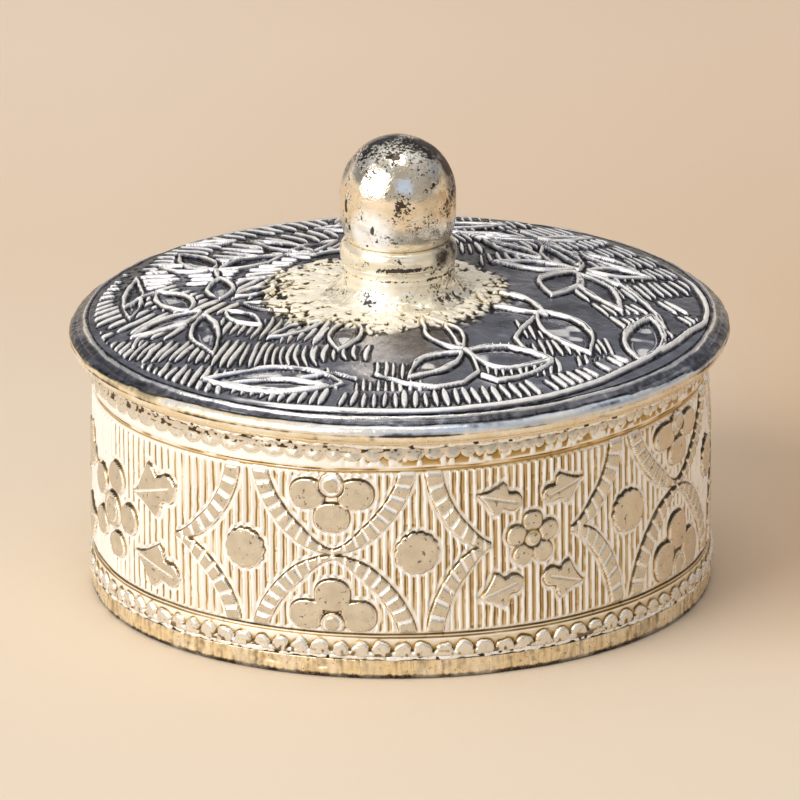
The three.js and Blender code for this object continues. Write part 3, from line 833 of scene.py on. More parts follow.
class Tree:
    """Short calls for the nodes of a material or a world."""

    def __init__(self, owner, end="Principled BSDF"):
        owner.use_nodes = True
        self.owner = owner
        self.nodes = owner.node_tree.nodes
        self.links = owner.node_tree.links
        self.shader = self.nodes[end]

    def add(self, kind, values=(), **settings):
        """A node of one kind, with its settings and the values or links of its inputs."""
        made = self.nodes.new(kind)
        for key, value in settings.items():
            setattr(made, key, value)
        for key, value in dict(values).items():
            self.feed(made.inputs[key], value)
        return made

    def feed(self, socket, value):
        """Links a socket, or sets its value."""
        if isinstance(value, bpy.types.NodeSocket):
            self.links.new(value, socket)
        else:
            socket.default_value = value

    def where(self):
        """A point's place on the object's own coordinates, in metres."""
        return self.add("ShaderNodeTexCoord").outputs["Object"]

    def parts_of(self, vector):
        """The X, Y and Z of a vector."""
        return self.add("ShaderNodeSeparateXYZ", {0: vector}).outputs

    def noise(self, size_mm, detail=2.0, seed=0.0, rough=0.5, tall=1.0):
        """Noise of about one size in millimetres, drawn out upwards by a factor."""
        spot = self.where()
        if seed or tall != 1.0:
            moved, stretched = (seed, seed * 0.7, seed * 0.3), (1.0, 1.0, 1.0 / tall)
            values = {"Vector": spot, "Location": moved, "Scale": stretched}
            spot = self.add("ShaderNodeMapping", values).outputs[0]
        values = {"Vector": spot, "Scale": 1.0 / (size_mm * MM), "Detail": detail, "Roughness": rough}
        return self.add("ShaderNodeTexNoise", values).outputs["Fac"]

    def kept(self, name):
        """A value kept on the piece's points."""
        return self.add("ShaderNodeAttribute", attribute_name=name).outputs["Fac"]

    def ramp(self, share, *stops):
        """Colours blended between stops of (place, colour)."""
        made = self.add("ShaderNodeValToRGB", {"Fac": share})
        marks = made.color_ramp.elements
        while len(marks) < len(stops):
            marks.new(0.5)
        for mark, (place_at, colour) in zip(marks, stops):
            mark.position = place_at
            mark.color = (*colour, 1.0)
        return made.outputs["Color"]

    def ranged(self, value, low, high, to_low=0.0, to_high=1.0):
        """A value carried from one range to another and held there."""
        values = {"Value": value, "From Min": low, "From Max": high, "To Min": to_low, "To Max": to_high}
        return self.add("ShaderNodeMapRange", values).outputs["Result"]

    def total(self, a, b):
        """The sum of two values."""
        return self.add("ShaderNodeMath", {0: a, 1: b}).outputs[0]

    def product(self, a, b):
        """The product of two values."""
        return self.add("ShaderNodeMath", {0: a, 1: b}, operation="MULTIPLY").outputs[0]

    def mixed(self, share, a, b):
        """Two colours mixed by a share."""
        made = self.add("ShaderNodeMix", data_type="RGBA")
        self.feed(made.inputs[0], share)
        for socket, value in ((made.inputs[6], a), (made.inputs[7], b)):
            self.feed(socket, (*value, 1.0) if isinstance(value, tuple) else value)
        return made.outputs[2]

    def over(self, base, colour, value, low, high, most=1.0, least=0.0):
        """A colour laid over another: its least share where a value is low, its most where it is high."""
        return self.mixed(self.ranged(value, low, high, least, most), base, colour)

    def surface(self, colour, roughness, metallic):
        """Sets the shader's colour, its roughness and how metallic it is, by links or by plain values."""
        for key, value in (("Base Color", colour), ("Roughness", roughness), ("Metallic", metallic)):
            self.feed(self.shader.inputs[key], value)

    def bump(self, height, depth_mm, strength):
        """A bump of one depth in millimetres on the shader."""
        values = {"Height": height, "Distance": depth_mm * MM, "Strength": strength}
        made = self.add("ShaderNodeBump", values)
        self.feed(self.shader.inputs["Normal"], made.outputs["Normal"])


def finish_tree(name):
    """The tree of a new material."""
    return Tree(bpy.data.materials.new(name))


def scaled(colour, share):
    """A colour made darker or lighter by one share."""
    return tuple(min(1.0, part * share) for part in colour)


def toned(colour, shares):
    """A colour with a share for each of its parts."""
    return tuple(part * share for part, share in zip(colour, shares))


def shades(colour, *marks):
    """Stops of one colour made darker or lighter, from marks of (place, share)."""
    return [(place_at, scaled(colour, share)) for place_at, share in marks]


def embossed_finish(tones):
    """Silver plate on embossed sheet: brown in the cuts, bright on the worked ground with the painted
    highlights and painted shade of its kept shade, tan towards the right as painted shade and painted warm
    reflection, and duller with dark specks on the flat tops."""
    tree = finish_tree("embossed_plate")
    soot, high, brown, dull = tones.soot_colour, tones.high_colour, tones.brown_colour, tones.top_colour
    relief, top = tree.kept("relief"), tree.kept("top")
    deep = shades(brown, (0.12, 0.85), (0.24, 1.9))
    lit_ramp = tree.ramp(relief, (0.0, soot), *deep, (0.38, tones.plate_colour), (0.55, high))
    deep = shades(brown, (0.13, 0.6), (0.26, 1.9))
    shaded_right_ramp = tree.ramp(relief, (0.0, soot), *deep, (0.4, tones.right_shade_colour), (0.6, high))
    # Painted shade: a tan, darker copy of the ramp laid over the right side, away from the light
    ground = tree.over(lit_ramp, shaded_right_ramp, tree.parts_of(tree.where())["X"], -0.014, 0.012)
    ground = tree.over(ground, scaled(tones.gilt_colour, 1.1), tree.noise(4.0, 3.0), 0.5, 0.7, 0.15)
    flat = tree.over(dull, scaled(dull, 1.3), tree.noise(1.3, 4.0, 0.6, 0.6), 0.35, 0.7, 0.7)
    flat = tree.over(flat, soot, tree.noise(0.5, 2.0, 0.3, 0.62), 0.64, 0.7, 0.7)
    flat = tree.over(flat, soot, relief, 0.3, 0.1)
    worn = tree.ranged(tree.noise(1.4, 3.0, 0.9), 0.35, 0.65, 0.28, 0.4)
    rough = tree.total(worn, tree.product(top, -0.14))
    tree.surface(tree.mixed(top, ground, flat), rough, tree.ranged(top, 0.0, 1.0, 0.4, 0.75))
    tree.bump(tree.noise(0.3, 4.0, 0.5, 0.6), 0.03, 0.7)
    return tree.owner


def chased_finish(tones):
    """Chased silver left dark in its ground: blue-grey plain ground, white ridges that are worn and carry a
    painted highlight, and gilt solder at the knob."""
    tree = finish_tree("chased_plate")
    dark, gold = tones.lid_ground_colour, tones.gilt_colour
    relief, gilt = tree.kept("relief"), tree.kept("gilt")
    ground = shades(dark, (0.0, 0.04), (0.2, 0.2), (0.36, 0.85), (0.52, 1.3))
    colour = tree.ramp(relief, *ground, (0.76, tones.lid_ridge_colour))
    colour = tree.over(colour, scaled(dark, 1.8), tree.noise(0.9, 5.0, 0.0, 0.7), 0.5, 0.72, 0.45)
    cream = toned(tones.high_colour, (1.0, 0.93, 0.78))
    deep, crust = (0.0, scaled(dark, 0.05)), shades(gold, (0.3, 0.4), (0.55, 1.0))
    solder = tree.ramp(relief, deep, *crust, (0.85, cream))
    worn = tree.ranged(relief, 0.2, 0.8, 0.26, 0.2)
    rough = tree.total(worn, tree.ranged(tree.noise(0.8, 3.0), 0.35, 0.7, 0.0, 0.1))
    metal = tree.product(tree.ranged(relief, 0.5, 0.85, 1.0, 0.2), tree.ranged(gilt, 0.2, 0.8, 1.0, 0.5))
    tree.surface(tree.mixed(gilt, colour, solder), rough, metal)
    tree.bump(tree.noise(0.5, 5.0, 0.4, 0.62), 0.05, 0.6)
    return tree.owner


def foot_finish(tones):
    """Gilt plate filed up and down: pale on its worn high places, brown in the file marks and in clouds of
    them, and peppered with fine dark pits. Its kept shade brings a painted shadow along the bottom edge."""
    tree = finish_tree("foot_plate")
    gilt, soot = tones.gilt_colour, tones.soot_colour
    warm = shades(gilt, (0.2, 0.35), (0.45, 0.95), (0.62, 1.1))
    base = tree.ramp(tree.kept("relief"), (0.0, soot), *warm, (0.85, tones.high_colour))
    base = tree.over(base, tones.plate_colour, tree.noise(3.0, 3.0, 0.4), 0.45, 0.7, 0.5)
    clouds = tree.ranged(tree.noise(3.4, 2.0, 0.9), 0.4, 0.6, -0.08, 0.06)
    filed = tree.total(tree.noise(0.18, 2.0, 0.6, 0.5, 10.0), clouds)
    base = tree.over(base, scaled(gilt, 0.42), filed, 0.56, 0.62, 0.4)
    speck = tree.noise(0.3, 3.0, 0.3, 0.65)
    base = tree.over(base, soot, speck, 0.62, 0.68, 0.85)
    tree.surface(base, tree.ranged(tree.noise(1.1, 3.0, 0.8), 0.35, 0.65, 0.22, 0.36), 0.7)
    tree.bump(speck, 0.04, 0.6)
    return tree.owner


def plain_finish(name, colour, soot, gilt, roughness, pit_share, grain_mm=0.35, metal=1.0):
    """Plain silver plate with clouds of warmer tone, and fine dark casting pits that gather in clusters."""
    tree = finish_tree(name)
    base = tree.over(colour, gilt, tree.noise(3.5, 3.0), 0.4, 0.66, 0.55)
    base = tree.over(base, soot, tree.kept("relief"), 0.42, 0.2)
    cluster = tree.ranged(tree.noise(2.4, 2.0, 0.7), 0.45, 0.68, -0.1, 0.12)
    pitted = tree.total(tree.noise(grain_mm, 3.0, 0.3, 0.65), cluster)
    pits = tree.ranged(pitted, 0.8 - 0.16 * pit_share, 0.83 - 0.14 * pit_share, 0.0, 0.9)
    rough = tree.ranged(tree.noise(1.1, 3.0, 0.8), 0.35, 0.65, roughness - 0.06, roughness + 0.08)
    tree.surface(tree.mixed(pits, base, soot), rough, metal)
    tree.bump(tree.total(tree.noise(grain_mm, 4.0, 0.3, 0.62), tree.product(pits, -0.6)), 0.04, 0.6)
    return tree.owner


def knob_finish(tones):
    """Polished plate on a casting: yellower towards the foot and brown on the right as painted reflections of
    the warm table and room, black at the crown, dark painted reflections along its outline, a painted shade
    line under the collar at the front, painted highlights at the front left, and peppered with pits that
    gather in clusters."""
    tree = finish_tree("knob_plate")
    high, gilt, soot = tones.high_colour, tones.gilt_colour, tones.soot_colour
    where = tree.where()
    parts = tree.parts_of(where)
    across, up = parts["X"], parts["Z"]

    def near(spot_mm, inner_mm, outer_mm, most=1.0):
        """A share that falls from its most to nothing between two distances from a spot."""
        spot = tuple(part * MM for part in spot_mm)
        away = tree.add("ShaderNodeVectorMath", {0: where, 1: spot}, operation="DISTANCE").outputs["Value"]
        return tree.ranged(away, inner_mm * MM, outer_mm * MM, most, 0.0)

    cloud = tree.noise(1.6, 4.0, 0.2, 0.65)
    # Painted reflection: the ball yellower lower down, where it mirrors the warm table
    warm = tree.total(tree.ranged(up, 0.0435, 0.0375, 0.3, 0.5), tree.ranged(cloud, 0.45, 0.65, 0.0, 0.35))
    base = tree.mixed(warm, high, gilt)
    # Painted reflection and shade: brown on the right side
    right = tree.ranged(across, 0.001, 0.0055, 0.0, 0.7)
    side = tree.product(right, tree.ranged(cloud, 0.4, 0.6, 0.1, 1.0))
    base = tree.mixed(side, base, scaled(gilt, 0.45))
    low = tree.ranged(up, 0.0375, 0.0335)
    base = tree.over(base, toned(high, (0.99, 0.9, 0.71)), low, 0.0, 1.0, 0.8)

    # Painted dark reflections along the knob's outline: at its right edge, at the crown's edges and on the
    # collar's right
    edges = tree.total(near((5.3, -0.8, 40.8), 1.1, 2.3), near((4.2, -0.4, 42.7), 1.0, 2.1))
    above = tree.total(near((2.6, 0.2, 44.0), 0.5, 1.7, 0.8), near((-5.0, -0.4, 41.6), 0.6, 1.8, 0.9))
    below = tree.total(near((5.6, -1.6, 34.0), 0.7, 1.8), near((4.4, -3.9, 33.7), 0.6, 1.6))
    edges = tree.total(tree.total(edges, above), below)
    edges = tree.product(edges, tree.ranged(cloud, 0.34, 0.5, 0.6, 1.0))
    base = tree.mixed(edges, base, scaled(soot, 1.5))
    # Painted highlights: white patches at the front left of the ball and of the foot
    rubbed_and_painted_highlight = tree.total(near((-2.6, -4.7, 36.4), 1.5, 2.9), near((-2.6, -6.4, 30.2), 1.2, 3.0))
    rubbed_and_painted_highlight = tree.product(rubbed_and_painted_highlight, tree.ranged(cloud, 0.36, 0.56, 0.5, 1.0))
    base = tree.mixed(rubbed_and_painted_highlight, base, (1.0, 0.99, 0.96))

    cluster = tree.ranged(tree.noise(2.2, 3.0, 0.7), 0.42, 0.66, -0.1, 0.1)
    pitted = tree.total(tree.noise(0.3, 4.0, 0.3, 0.68), cluster)
    crown = tree.ranged(up, 0.0418, 0.0446, 0.0, 0.24)
    pitted = tree.total(pitted, tree.total(crown, near((0.5, -5.4, 39.6), 0.4, 1.5, 0.22)))
    pitted = tree.total(pitted, tree.ranged(across, 0.001, 0.0055, 0.0, 0.07))
    # Painted shade: a dark line under the collar's bulge at the front, laid on as pits
    groove = tree.product(tree.ranged(up, 0.03255, 0.0327), tree.ranged(up, 0.0331, 0.03295, 0.0, 0.3))
    pitted = tree.total(pitted, tree.product(groove, near((0.6, -5.9, 32.8), 1.2, 3.4)))
    pitted = tree.total(pitted, tree.ranged(tree.kept("relief"), 0.42, 0.2, 0.0, 0.5))
    pits = tree.ranged(pitted, 0.6, 0.645, 0.0, 0.95)

    polish = tree.ranged(tree.noise(1.1, 3.0, 0.8), 0.35, 0.65, 0.08, 0.18)
    rough = tree.total(polish, tree.ranged(edges, 0.0, 1.0, 0.0, 0.4))
    dull = tree.total(tree.total(rubbed_and_painted_highlight, edges), tree.ranged(low, 0.0, 1.0, 0.0, 0.65))
    tree.surface(tree.mixed(pits, base, soot), rough, tree.ranged(dull, 0.0, 1.0, 1.0, 0.2))
    tree.bump(tree.total(tree.noise(0.9, 4.0, 0.5, 0.6), tree.product(pits, -0.35)), 0.09, 0.7)
    return tree.owner


def rim_finish(tones):
    """The rim's plate: a dark mottled flange, a bright roll with blue and black streaks, its blue a painted
    sky reflection, and warm plate under it, a painted reflection of the warm table."""
    tree = finish_tree("rim_plate")
    dark, bright, gold = tones.lid_ground_colour, tones.lid_ridge_colour, tones.gilt_colour
    relief, gilt, flange = tree.kept("relief"), tree.kept("gilt"), tree.kept("flange")
    black, pale = (0.0, scaled(dark, 0.04)), (0.85, scaled(bright, 0.8))
    level = tree.ramp(relief, black, *shades(dark, (0.22, 0.2), (0.45, 0.55), (0.64, 1.0)), (0.88, bright))
    level = tree.over(level, scaled(dark, 1.25), tree.noise(0.7, 5.0, 0.2, 0.7), 0.5, 0.68, 0.5)
    # Painted sky reflection: the roll is blue-grey except on the left
    painted_sky_roll = tree.ramp(relief, black, (0.25, scaled(dark, 0.4)), (0.5, (0.56, 0.62, 0.7)), pale)
    warm_roll = tree.ramp(relief, black, *shades(gold, (0.25, 0.35), (0.5, 1.0)), pale)
    roll = tree.over(warm_roll, painted_sky_roll, tree.parts_of(tree.where())["X"], -0.014, -0.002)
    # Painted reflection of the warm table on the rim's underside
    under = tree.over(tones.plate_colour, scaled(gold, 0.95), tree.noise(2.4, 3.0), 0.4, 0.66, 0.9, 0.2)
    under = tree.over(under, tones.soot_colour, relief, 0.42, 0.2)
    colour = tree.mixed(gilt, tree.mixed(flange, roll, level), under)
    rough = tree.ranged(tree.noise(0.9, 3.0), 0.35, 0.65, 0.2, 0.32)
    tree.surface(colour, rough, tree.ranged(flange, 0.0, 1.0, 0.5, 1.0))
    tree.bump(tree.noise(0.5, 5.0, 0.3, 0.62), 0.05, 0.6)
    return tree.owner


def steel_finish():
    """Zinc-plated steel with fine turning marks."""
    tree = finish_tree("zinc_steel")
    colour = tree.over((0.5, 0.51, 0.53), (0.66, 0.66, 0.65), tree.noise(0.8, 3.0), 0.35, 0.65)
    tree.surface(colour, tree.ranged(tree.noise(0.5, 2.0), 0.35, 0.65, 0.3, 0.45), 1.0)
    tree.bump(tree.noise(0.12, 2.0), 0.01, 0.5)
    return tree.owner


# Settings


def size(label, words, millimetre):
    """A length that a user may change, shown in the scene's unit."""
    return bpy.props.FloatProperty(
        name=label, description=words, default=millimetre * MM, unit="LENGTH", precision=5
    )


def how_many(label, words, number):
    """A number of things that a user may change."""
    return bpy.props.IntProperty(name=label, description=words, default=number)


def turned(label, words, degrees):
    """An angle that a user may change."""
    return bpy.props.FloatProperty(
        name=label, description=words, default=math.radians(degrees), subtype="ANGLE"
    )


def watts(label, words, power):
    """The power of a lamp, which a user may change."""
    return bpy.props.FloatProperty(name=label, description=words, default=power, unit="POWER")


def tone(label, words, colour):
    """A colour that a user may change."""
    return bpy.props.FloatVectorProperty(
        name=label, description=words, default=colour, subtype="COLOR", size=3, min=0.0, max=1.0
    )


class DrumSettings(bpy.types.PropertyGroup):
    """Sizes of the drum's embossing."""

    flute_count: how_many("Flutes", "Flutes round the drum", 216)
    flute_depth: size("Flute depth", "Depth of the flutes", 0.24)
    motif_height: size("Motif height", "How far the ornament stands over the wall", 0.34)
    bead_count: how_many("Beads", "Beads round the frieze over the foot", 94)
    columns: how_many("Columns", "Mesh columns round the drum", 1620)


class LidSettings(bpy.types.PropertyGroup):
    """Sizes of the lid's chasing."""

    ridge_height: size("Ridge height", "Height of the raised leaf outlines", 0.4)
    stroke_height: size("Stroke height", "Height of the chased strokes of the ground", 0.3)
    rim_ridge: size("Rim ridge", "Height of the outer ridge beside the plate", 0.2)
    columns: how_many("Columns", "Mesh columns round the lid", 1840)


class KnobSettings(bpy.types.PropertyGroup):
    """Sizes of the knob's surface."""

    waver: size("Waver", "How uneven the cast and filed knob is", 0.05)
    slot_width: size("Slot width", "Width of the cross slot in the screw's head", 0.7)


class FinishSettings(bpy.types.PropertyGroup):
    """Colours of the plate."""

    plate_colour: tone("Plate", "Warm silver plate of the drum", (0.95, 0.9, 0.79))
    # Also the colour of the painted highlights on the worked walls
    high_colour: tone("High places", "Plate where it is rubbed bright", (1.0, 0.995, 0.975))
    brown_colour: tone("Brown", "Golden brown in the shallow lines", (0.27, 0.165, 0.045))
    # The tan of the drum's right side: painted shade and painted warm reflection
    right_shade_colour: tone("Tan", "Yellowed plate between the flutes on the right", (0.78, 0.64, 0.41))
    top_colour: tone("Flat tops", "Duller plate on the flat tops of the ornament", (0.64, 0.58, 0.47))
    gilt_colour: tone("Gilt cast", "Yellowed plate", (0.86, 0.7, 0.44))
    soot_colour: tone("Cuts", "Darkened plate in the cuts", (0.035, 0.022, 0.014))
    lid_ground_colour: tone("Lid ground", "Blue-grey ground of the lid", (0.285, 0.282, 0.315))
    # Worn ridges, white also as a painted highlight
    lid_ridge_colour: tone("Lid ridges", "Worn bright ridges of the lid", (1.0, 0.975, 0.93))


class StageSettings(bpy.types.PropertyGroup):
    """Light, floor and camera."""

    floor_colour: tone("Floor", "Pale cream table", (0.83, 0.69, 0.53))
    backdrop_colour: tone("Backdrop", "Beige wall behind", (0.81, 0.63, 0.46))
    far_colour: tone("Far backdrop", "Paler end of the wall behind", (0.89, 0.71, 0.55))
    room_front: tone("Room in front", "Dim warm room on the camera's side", (0.42, 0.39, 0.35))
    room_low: tone("Room low", "Bright cream wall near the level of the table", (0.92, 0.8, 0.66))
    room_behind: tone("Room behind", "Dim cool room behind the table", (0.27, 0.28, 0.31))
    room_above: tone("Ceiling", "Pale ceiling", (0.74, 0.74, 0.74))
    key_power: watts("Key light", "Large softbox, front left", 6.6)
    top_power: watts("Top light", "Softbox overhead", 0.75)
    sky_power: watts("Sky light", "Small blue window", 0.36)
    distance: size("Distance", "Camera distance", 2500.0)
    elevation: turned("Elevation", "Camera height angle", 18.8)
    roll: turned("Roll", "Camera roll", 0.6)
    aim_height: size("Aim height", "Height that the camera looks at", 17.95)
    lens: bpy.props.FloatProperty(
        name="Lens", description="Focal length", default=1173.0, subtype="DISTANCE_CAMERA"
    )


# Pieces

FINISHES = {}

# The kept shade of a face that isn't worked
PLAIN_SHADE = 0.5

# The radius at which a piece reads its noise
NOISE_RADIUS = 30.0

# How many sectors a wall of very many faces is made in
SECTORS = 4


def finish_of(name):
    """The finish of one name, made once from the colour settings."""
    if name not in FINISHES:
        colours = bpy.context.scene.kumkum_finish
        named = {key: tuple(getattr(colours, key)) for key in FinishSettings.__annotations__}
        tones = SimpleNamespace(**named)
        plate, high = tones.plate_colour, tones.high_colour
        gilt, soot = tones.gilt_colour, tones.soot_colour
        dull = scaled(plate, 0.95)
        makers = {
            "embossed": lambda: embossed_finish(tones),
            "chased": lambda: chased_finish(tones),
            "rim": lambda: rim_finish(tones),
            "cove": lambda: plain_finish("cove_plate", scaled(gilt, 1.05), soot, gilt, 0.24, 0.3, metal=0.7),
            "foot": lambda: foot_finish(tones),
            "solder": lambda: plain_finish("ragged_solder", high, soot, plate, 0.26, 0.9, 0.3, 0.4),
            "inside": lambda: plain_finish("inside_plate", dull, soot, scaled(high, 0.9), 0.36, 0.2),
            "knob": lambda: knob_finish(tones),
            "steel": steel_finish,
        }
        FINISHES[name] = makers[name]()
    return FINISHES[name]


def place(mesh, finish, body, node):
    """Links a finished mesh as a piece that rides on a body and stands for a frame node."""
    mesh.materials.append(finish_of(finish))
    piece = bpy.data.objects.new(mesh.name, mesh)
    bpy.context.scene.collection.objects.link(piece)
    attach(piece, body)
    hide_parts(node)


def outline_of(rows, before, line, after):
    """Radius and height of an outline: corners before a line and after it, each as (radius, height)."""
    ends = [([corner[axis] for corner in before], [corner[axis] for corner in after]) for axis in (0, 1)]
    return [joined_outline(rows, first, part, last) for (first, last), part in zip(ends, line)]


def turned_band(name, angles, before, line, after, kept=(), whole=True):
    """A shell whose outline is a worked line, shaded smooth, between plain corners before and after it.

    For each name, kept holds a value on the corners before, the line's own values and one on those after.
    """
    rows, start = len(angles), len(before)
    values = {"relief": PLAIN_SHADE}
    for key, (low, worked, high) in dict(kept).items():
        values[key] = joined_outline(rows, [low] * start, worked, [high] * len(after))
    radius, height = outline_of(rows, before, line, after)
    return shell(name, radius, height, angles, whole, (start, start + np.shape(line[0])[-1] - 1), values)


def noise_on(angles, seed, radius=NOISE_RADIUS):
    """Value noise round one piece, as a function of height, size and a number added to the piece's seed."""
    return lambda height, size, number=0: round_drift(angles[:, None], radius, height, size, seed + number)


def sectors(columns, first_degrees):
    """Number and columns of each sector of a wall, from one angle on, up to the next one's first column."""
    width = columns // SECTORS
    first = round(columns * first_degrees / 360.0)
    for number in range(SECTORS):
        yield number + 1, (first + np.arange(number * width, (number + 1) * width + 1)) % columns


def worked_drum(angles, heights, gain, settings):
    """Radius of the drum's outside on a grid, its shade and its flat tops."""
    outside, tops, cut, bright = drum_surface(angles[:, None], heights[None, :], settings)
    return outside, worked_shade(outside, cut, bright, gain, heights[1] - heights[0]), tops


class KUMKUM_OT_drum_field(bpy.types.Operator):
    """Make the drum's fluted and embossed field as four sectors of one wall"""

    bl_idname = "kumkum.drum_field"
    bl_label = "Drum Field"

    def execute(self, context):
        settings = context.scene.kumkum_drum
        angles = full_turn(settings.columns)
        heights = np.linspace(LOWER_LINE, UPPER_LINE, 138)
        outside, shade, tops = worked_drum(angles, heights, 1.5, settings)
        before, after = [(WALL_INSIDE, LOWER_LINE)], [(WALL_INSIDE, UPPER_LINE)]
        for number, part in sectors(settings.columns, 9.0):
            kept = {"relief": (PLAIN_SHADE, shade[part], PLAIN_SHADE), "top": (0.0, tops[part], 0.0)}
            line = outside[part], heights
            mesh = turned_band(f"drum_field_{number}", angles[part], before, line, after, kept, False)
            place(mesh, "embossed", "box", "drum_sleeve")
        return {"FINISHED"}


class KUMKUM_OT_drum_friezes(bpy.types.Operator):
    """Make the beaded frieze over the foot and the scalloped frieze under the mouth"""

    bl_idname = "kumkum.drum_friezes"
    bl_label = "Drum Friezes"

    def execute(self, context):
        settings = context.scene.kumkum_drum
        angles = full_turn(settings.columns)
        seam_top = DRUM_BOTTOM + SEAM_HEIGHT
        rabbet = [(WALL_INSIDE, DRUM_BOTTOM), (RABBET_RADIUS, DRUM_BOTTOM), (RABBET_RADIUS, seam_top)]
        for name, before, low, high in (
            ("drum_lower_frieze", rabbet, seam_top, LOWER_LINE),
            ("drum_upper_frieze", [(WALL_INSIDE, UPPER_LINE)], UPPER_LINE, DRUM_TOP),
        ):
            heights = np.linspace(low, high, 24)
            outside, shade, tops = worked_drum(angles, heights, 1.6, settings)
            kept = {"relief": (PLAIN_SHADE, shade, PLAIN_SHADE), "top": (0.0, tops, 0.0)}
            mesh = turned_band(name, angles, before, (outside, heights), [(WALL_INSIDE, high)], kept)
            place(mesh, "embossed", "box", "drum_sleeve")
        return {"FINISHED"}


def solder_bead(node, low, high, out, seed):
    """A bead of solder laid by hand: a squashed round section whose size and place waver, cut with small
    pits."""
    angles = full_turn(1500)
    noise = noise_on(angles, seed)
    turn = np.linspace(-math.pi / 2.0, math.pi / 2.0, 13)[None, :]
    middle, half = (low + high) / 2.0, (high - low) / 2.0
    bulge = out + 0.1 * noise(0.0, 1.1) + 0.07 * noise(0.0, 0.4, 1)
    rough = 0.06 * noise(turn * 0.6, 0.33, 2)
    pits = -0.16 * smooth(0.35, 0.6, noise(turn * 0.7, 0.55, 3))
    front = WALL_RADIUS + 0.06 + (bulge + rough + pits) * clipped(np.cos(turn)) ** 0.7
    sway = 0.16 * noise(0.0, 0.8, 4) * np.cos(turn)
    heights = middle + half * np.sin(turn) * (1.0 + 0.25 * noise(3.0, 1.0, 5)) + sway
    shade = 0.5 + 2.6 * (front - averaged(front, 6, 0, True)) - 0.5 * np.abs(np.sin(turn)) ** 4
    shade = clipped(shade + 1.2 * pits)
    inner = RABBET_RADIUS + 0.05
    kept = {"relief": (PLAIN_SHADE, shade, PLAIN_SHADE)}
    mesh = turned_band(f"{node}_bead", angles, [(inner, low)], (front, heights), [(inner, high)], kept)
    place(mesh, "solder", "box", node)


class KUMKUM_OT_solder_seams(bpy.types.Operator):
    """Make the ragged beads of solder at the foot and at the mouth of the drum"""

    bl_idname = "kumkum.solder_seams"
    bl_label = "Solder Seams"

    def execute(self, context):
        solder_bead("foot_solder_seam", DRUM_BOTTOM, DRUM_BOTTOM + 0.62, 0.36, 51)
        solder_bead("mouth_solder_seam", DRUM_TOP - 0.12, DRUM_TOP + 0.56, 0.62, 61)
        return {"FINISHED"}


class KUMKUM_OT_mouth_ring(bpy.types.Operator):
    """Make the hollow-curved ring that flares out to the lip under the lid"""

    bl_idname = "kumkum.mouth_ring"
    bl_label = "Mouth Ring"

    def execute(self, context):
        angles = full_turn(720)
        flare = MOUTH_RADIUS - WALL_RADIUS
        lip = MOUTH_TOP - 0.3
        cove_r, cove_z = arc_points(MOUTH_RADIUS, DRUM_TOP, flare, 180, 90, 12, (lip - DRUM_TOP) / flare)
        edge_r, edge_z = arc_points(MOUTH_RADIUS - 0.12, MOUTH_TOP - 0.13, 0.12, -30, 80, 5)
        waver = 0.035 * noise_on(angles, 71)(cove_z, 4.0)
        line = joined_outline(len(angles), cove_r + waver, edge_r), np.concatenate([cove_z, edge_z])
        before, after = [(WALL_INSIDE, DRUM_TOP)], [(WALL_INSIDE, MOUTH_TOP)]
        mesh = turned_band("mouth_cove", angles, before, line, after)
        place(mesh, "cove", "box", "mouth_ring")
        return {"FINISHED"}


class KUMKUM_OT_foot_ring(bpy.types.Operator):
    """Make the plain foot band with its file marks and dents"""

    bl_idname = "kumkum.foot_ring"
    bl_label = "Foot Ring"

    def execute(self, context):
        angles = full_turn(1300)
        noise = noise_on(angles, 80)
        rounding = 0.35
        curve_r, curve_z = arc_points(FOOT_RADIUS - rounding, rounding, rounding, -90, 0, 7)
        side_z = np.linspace(rounding, FOOT_TOP, 16)[1:]
        line_z = np.concatenate([curve_z, side_z])
        line_r = np.concatenate([curve_r, np.full(len(side_z), FOOT_RADIUS)])
        marks = noise(line_z * 0.16, 0.3, 1)
        dents = smooth(0.35, 0.75, noise(line_z, 1.3, 2))
        blots = smooth(0.2, 0.6, noise(line_z * 0.5, 2.2, 4))
        lift = 0.045 * marks - 0.08 * dents + 0.05 * noise(line_z, 5.0, 3)
        lift = lift * smooth(0.0, 0.25, line_z) - 0.05
        outside = line_r + lift
        shade = stands_out(outside, 5, 2, 3.0) + 0.14 * marks - 0.12 * blots
        # Painted shadow: the bottom edge of the foot darkened where it meets the table
        shade = shade - 0.75 * smooth(0.55, 0.3, line_z)
        shade = clipped(shade + 0.16 * noise(line_z, 0.35, 5))
        ledge = WALL_INSIDE - FOOT_LEDGE
        shelf = FOOT_TOP - FLOOR_THICKNESS
        after = [(WALL_INSIDE, FOOT_TOP), (WALL_INSIDE, shelf), (ledge, shelf)]
        kept = {"relief": (PLAIN_SHADE, shade, PLAIN_SHADE)}
        mesh = turned_band("foot_band", angles, [(ledge, 0.0)], (outside, line_z), after, kept)
        place(mesh, "foot", "box", "foot_ring")
        return {"FINISHED"}


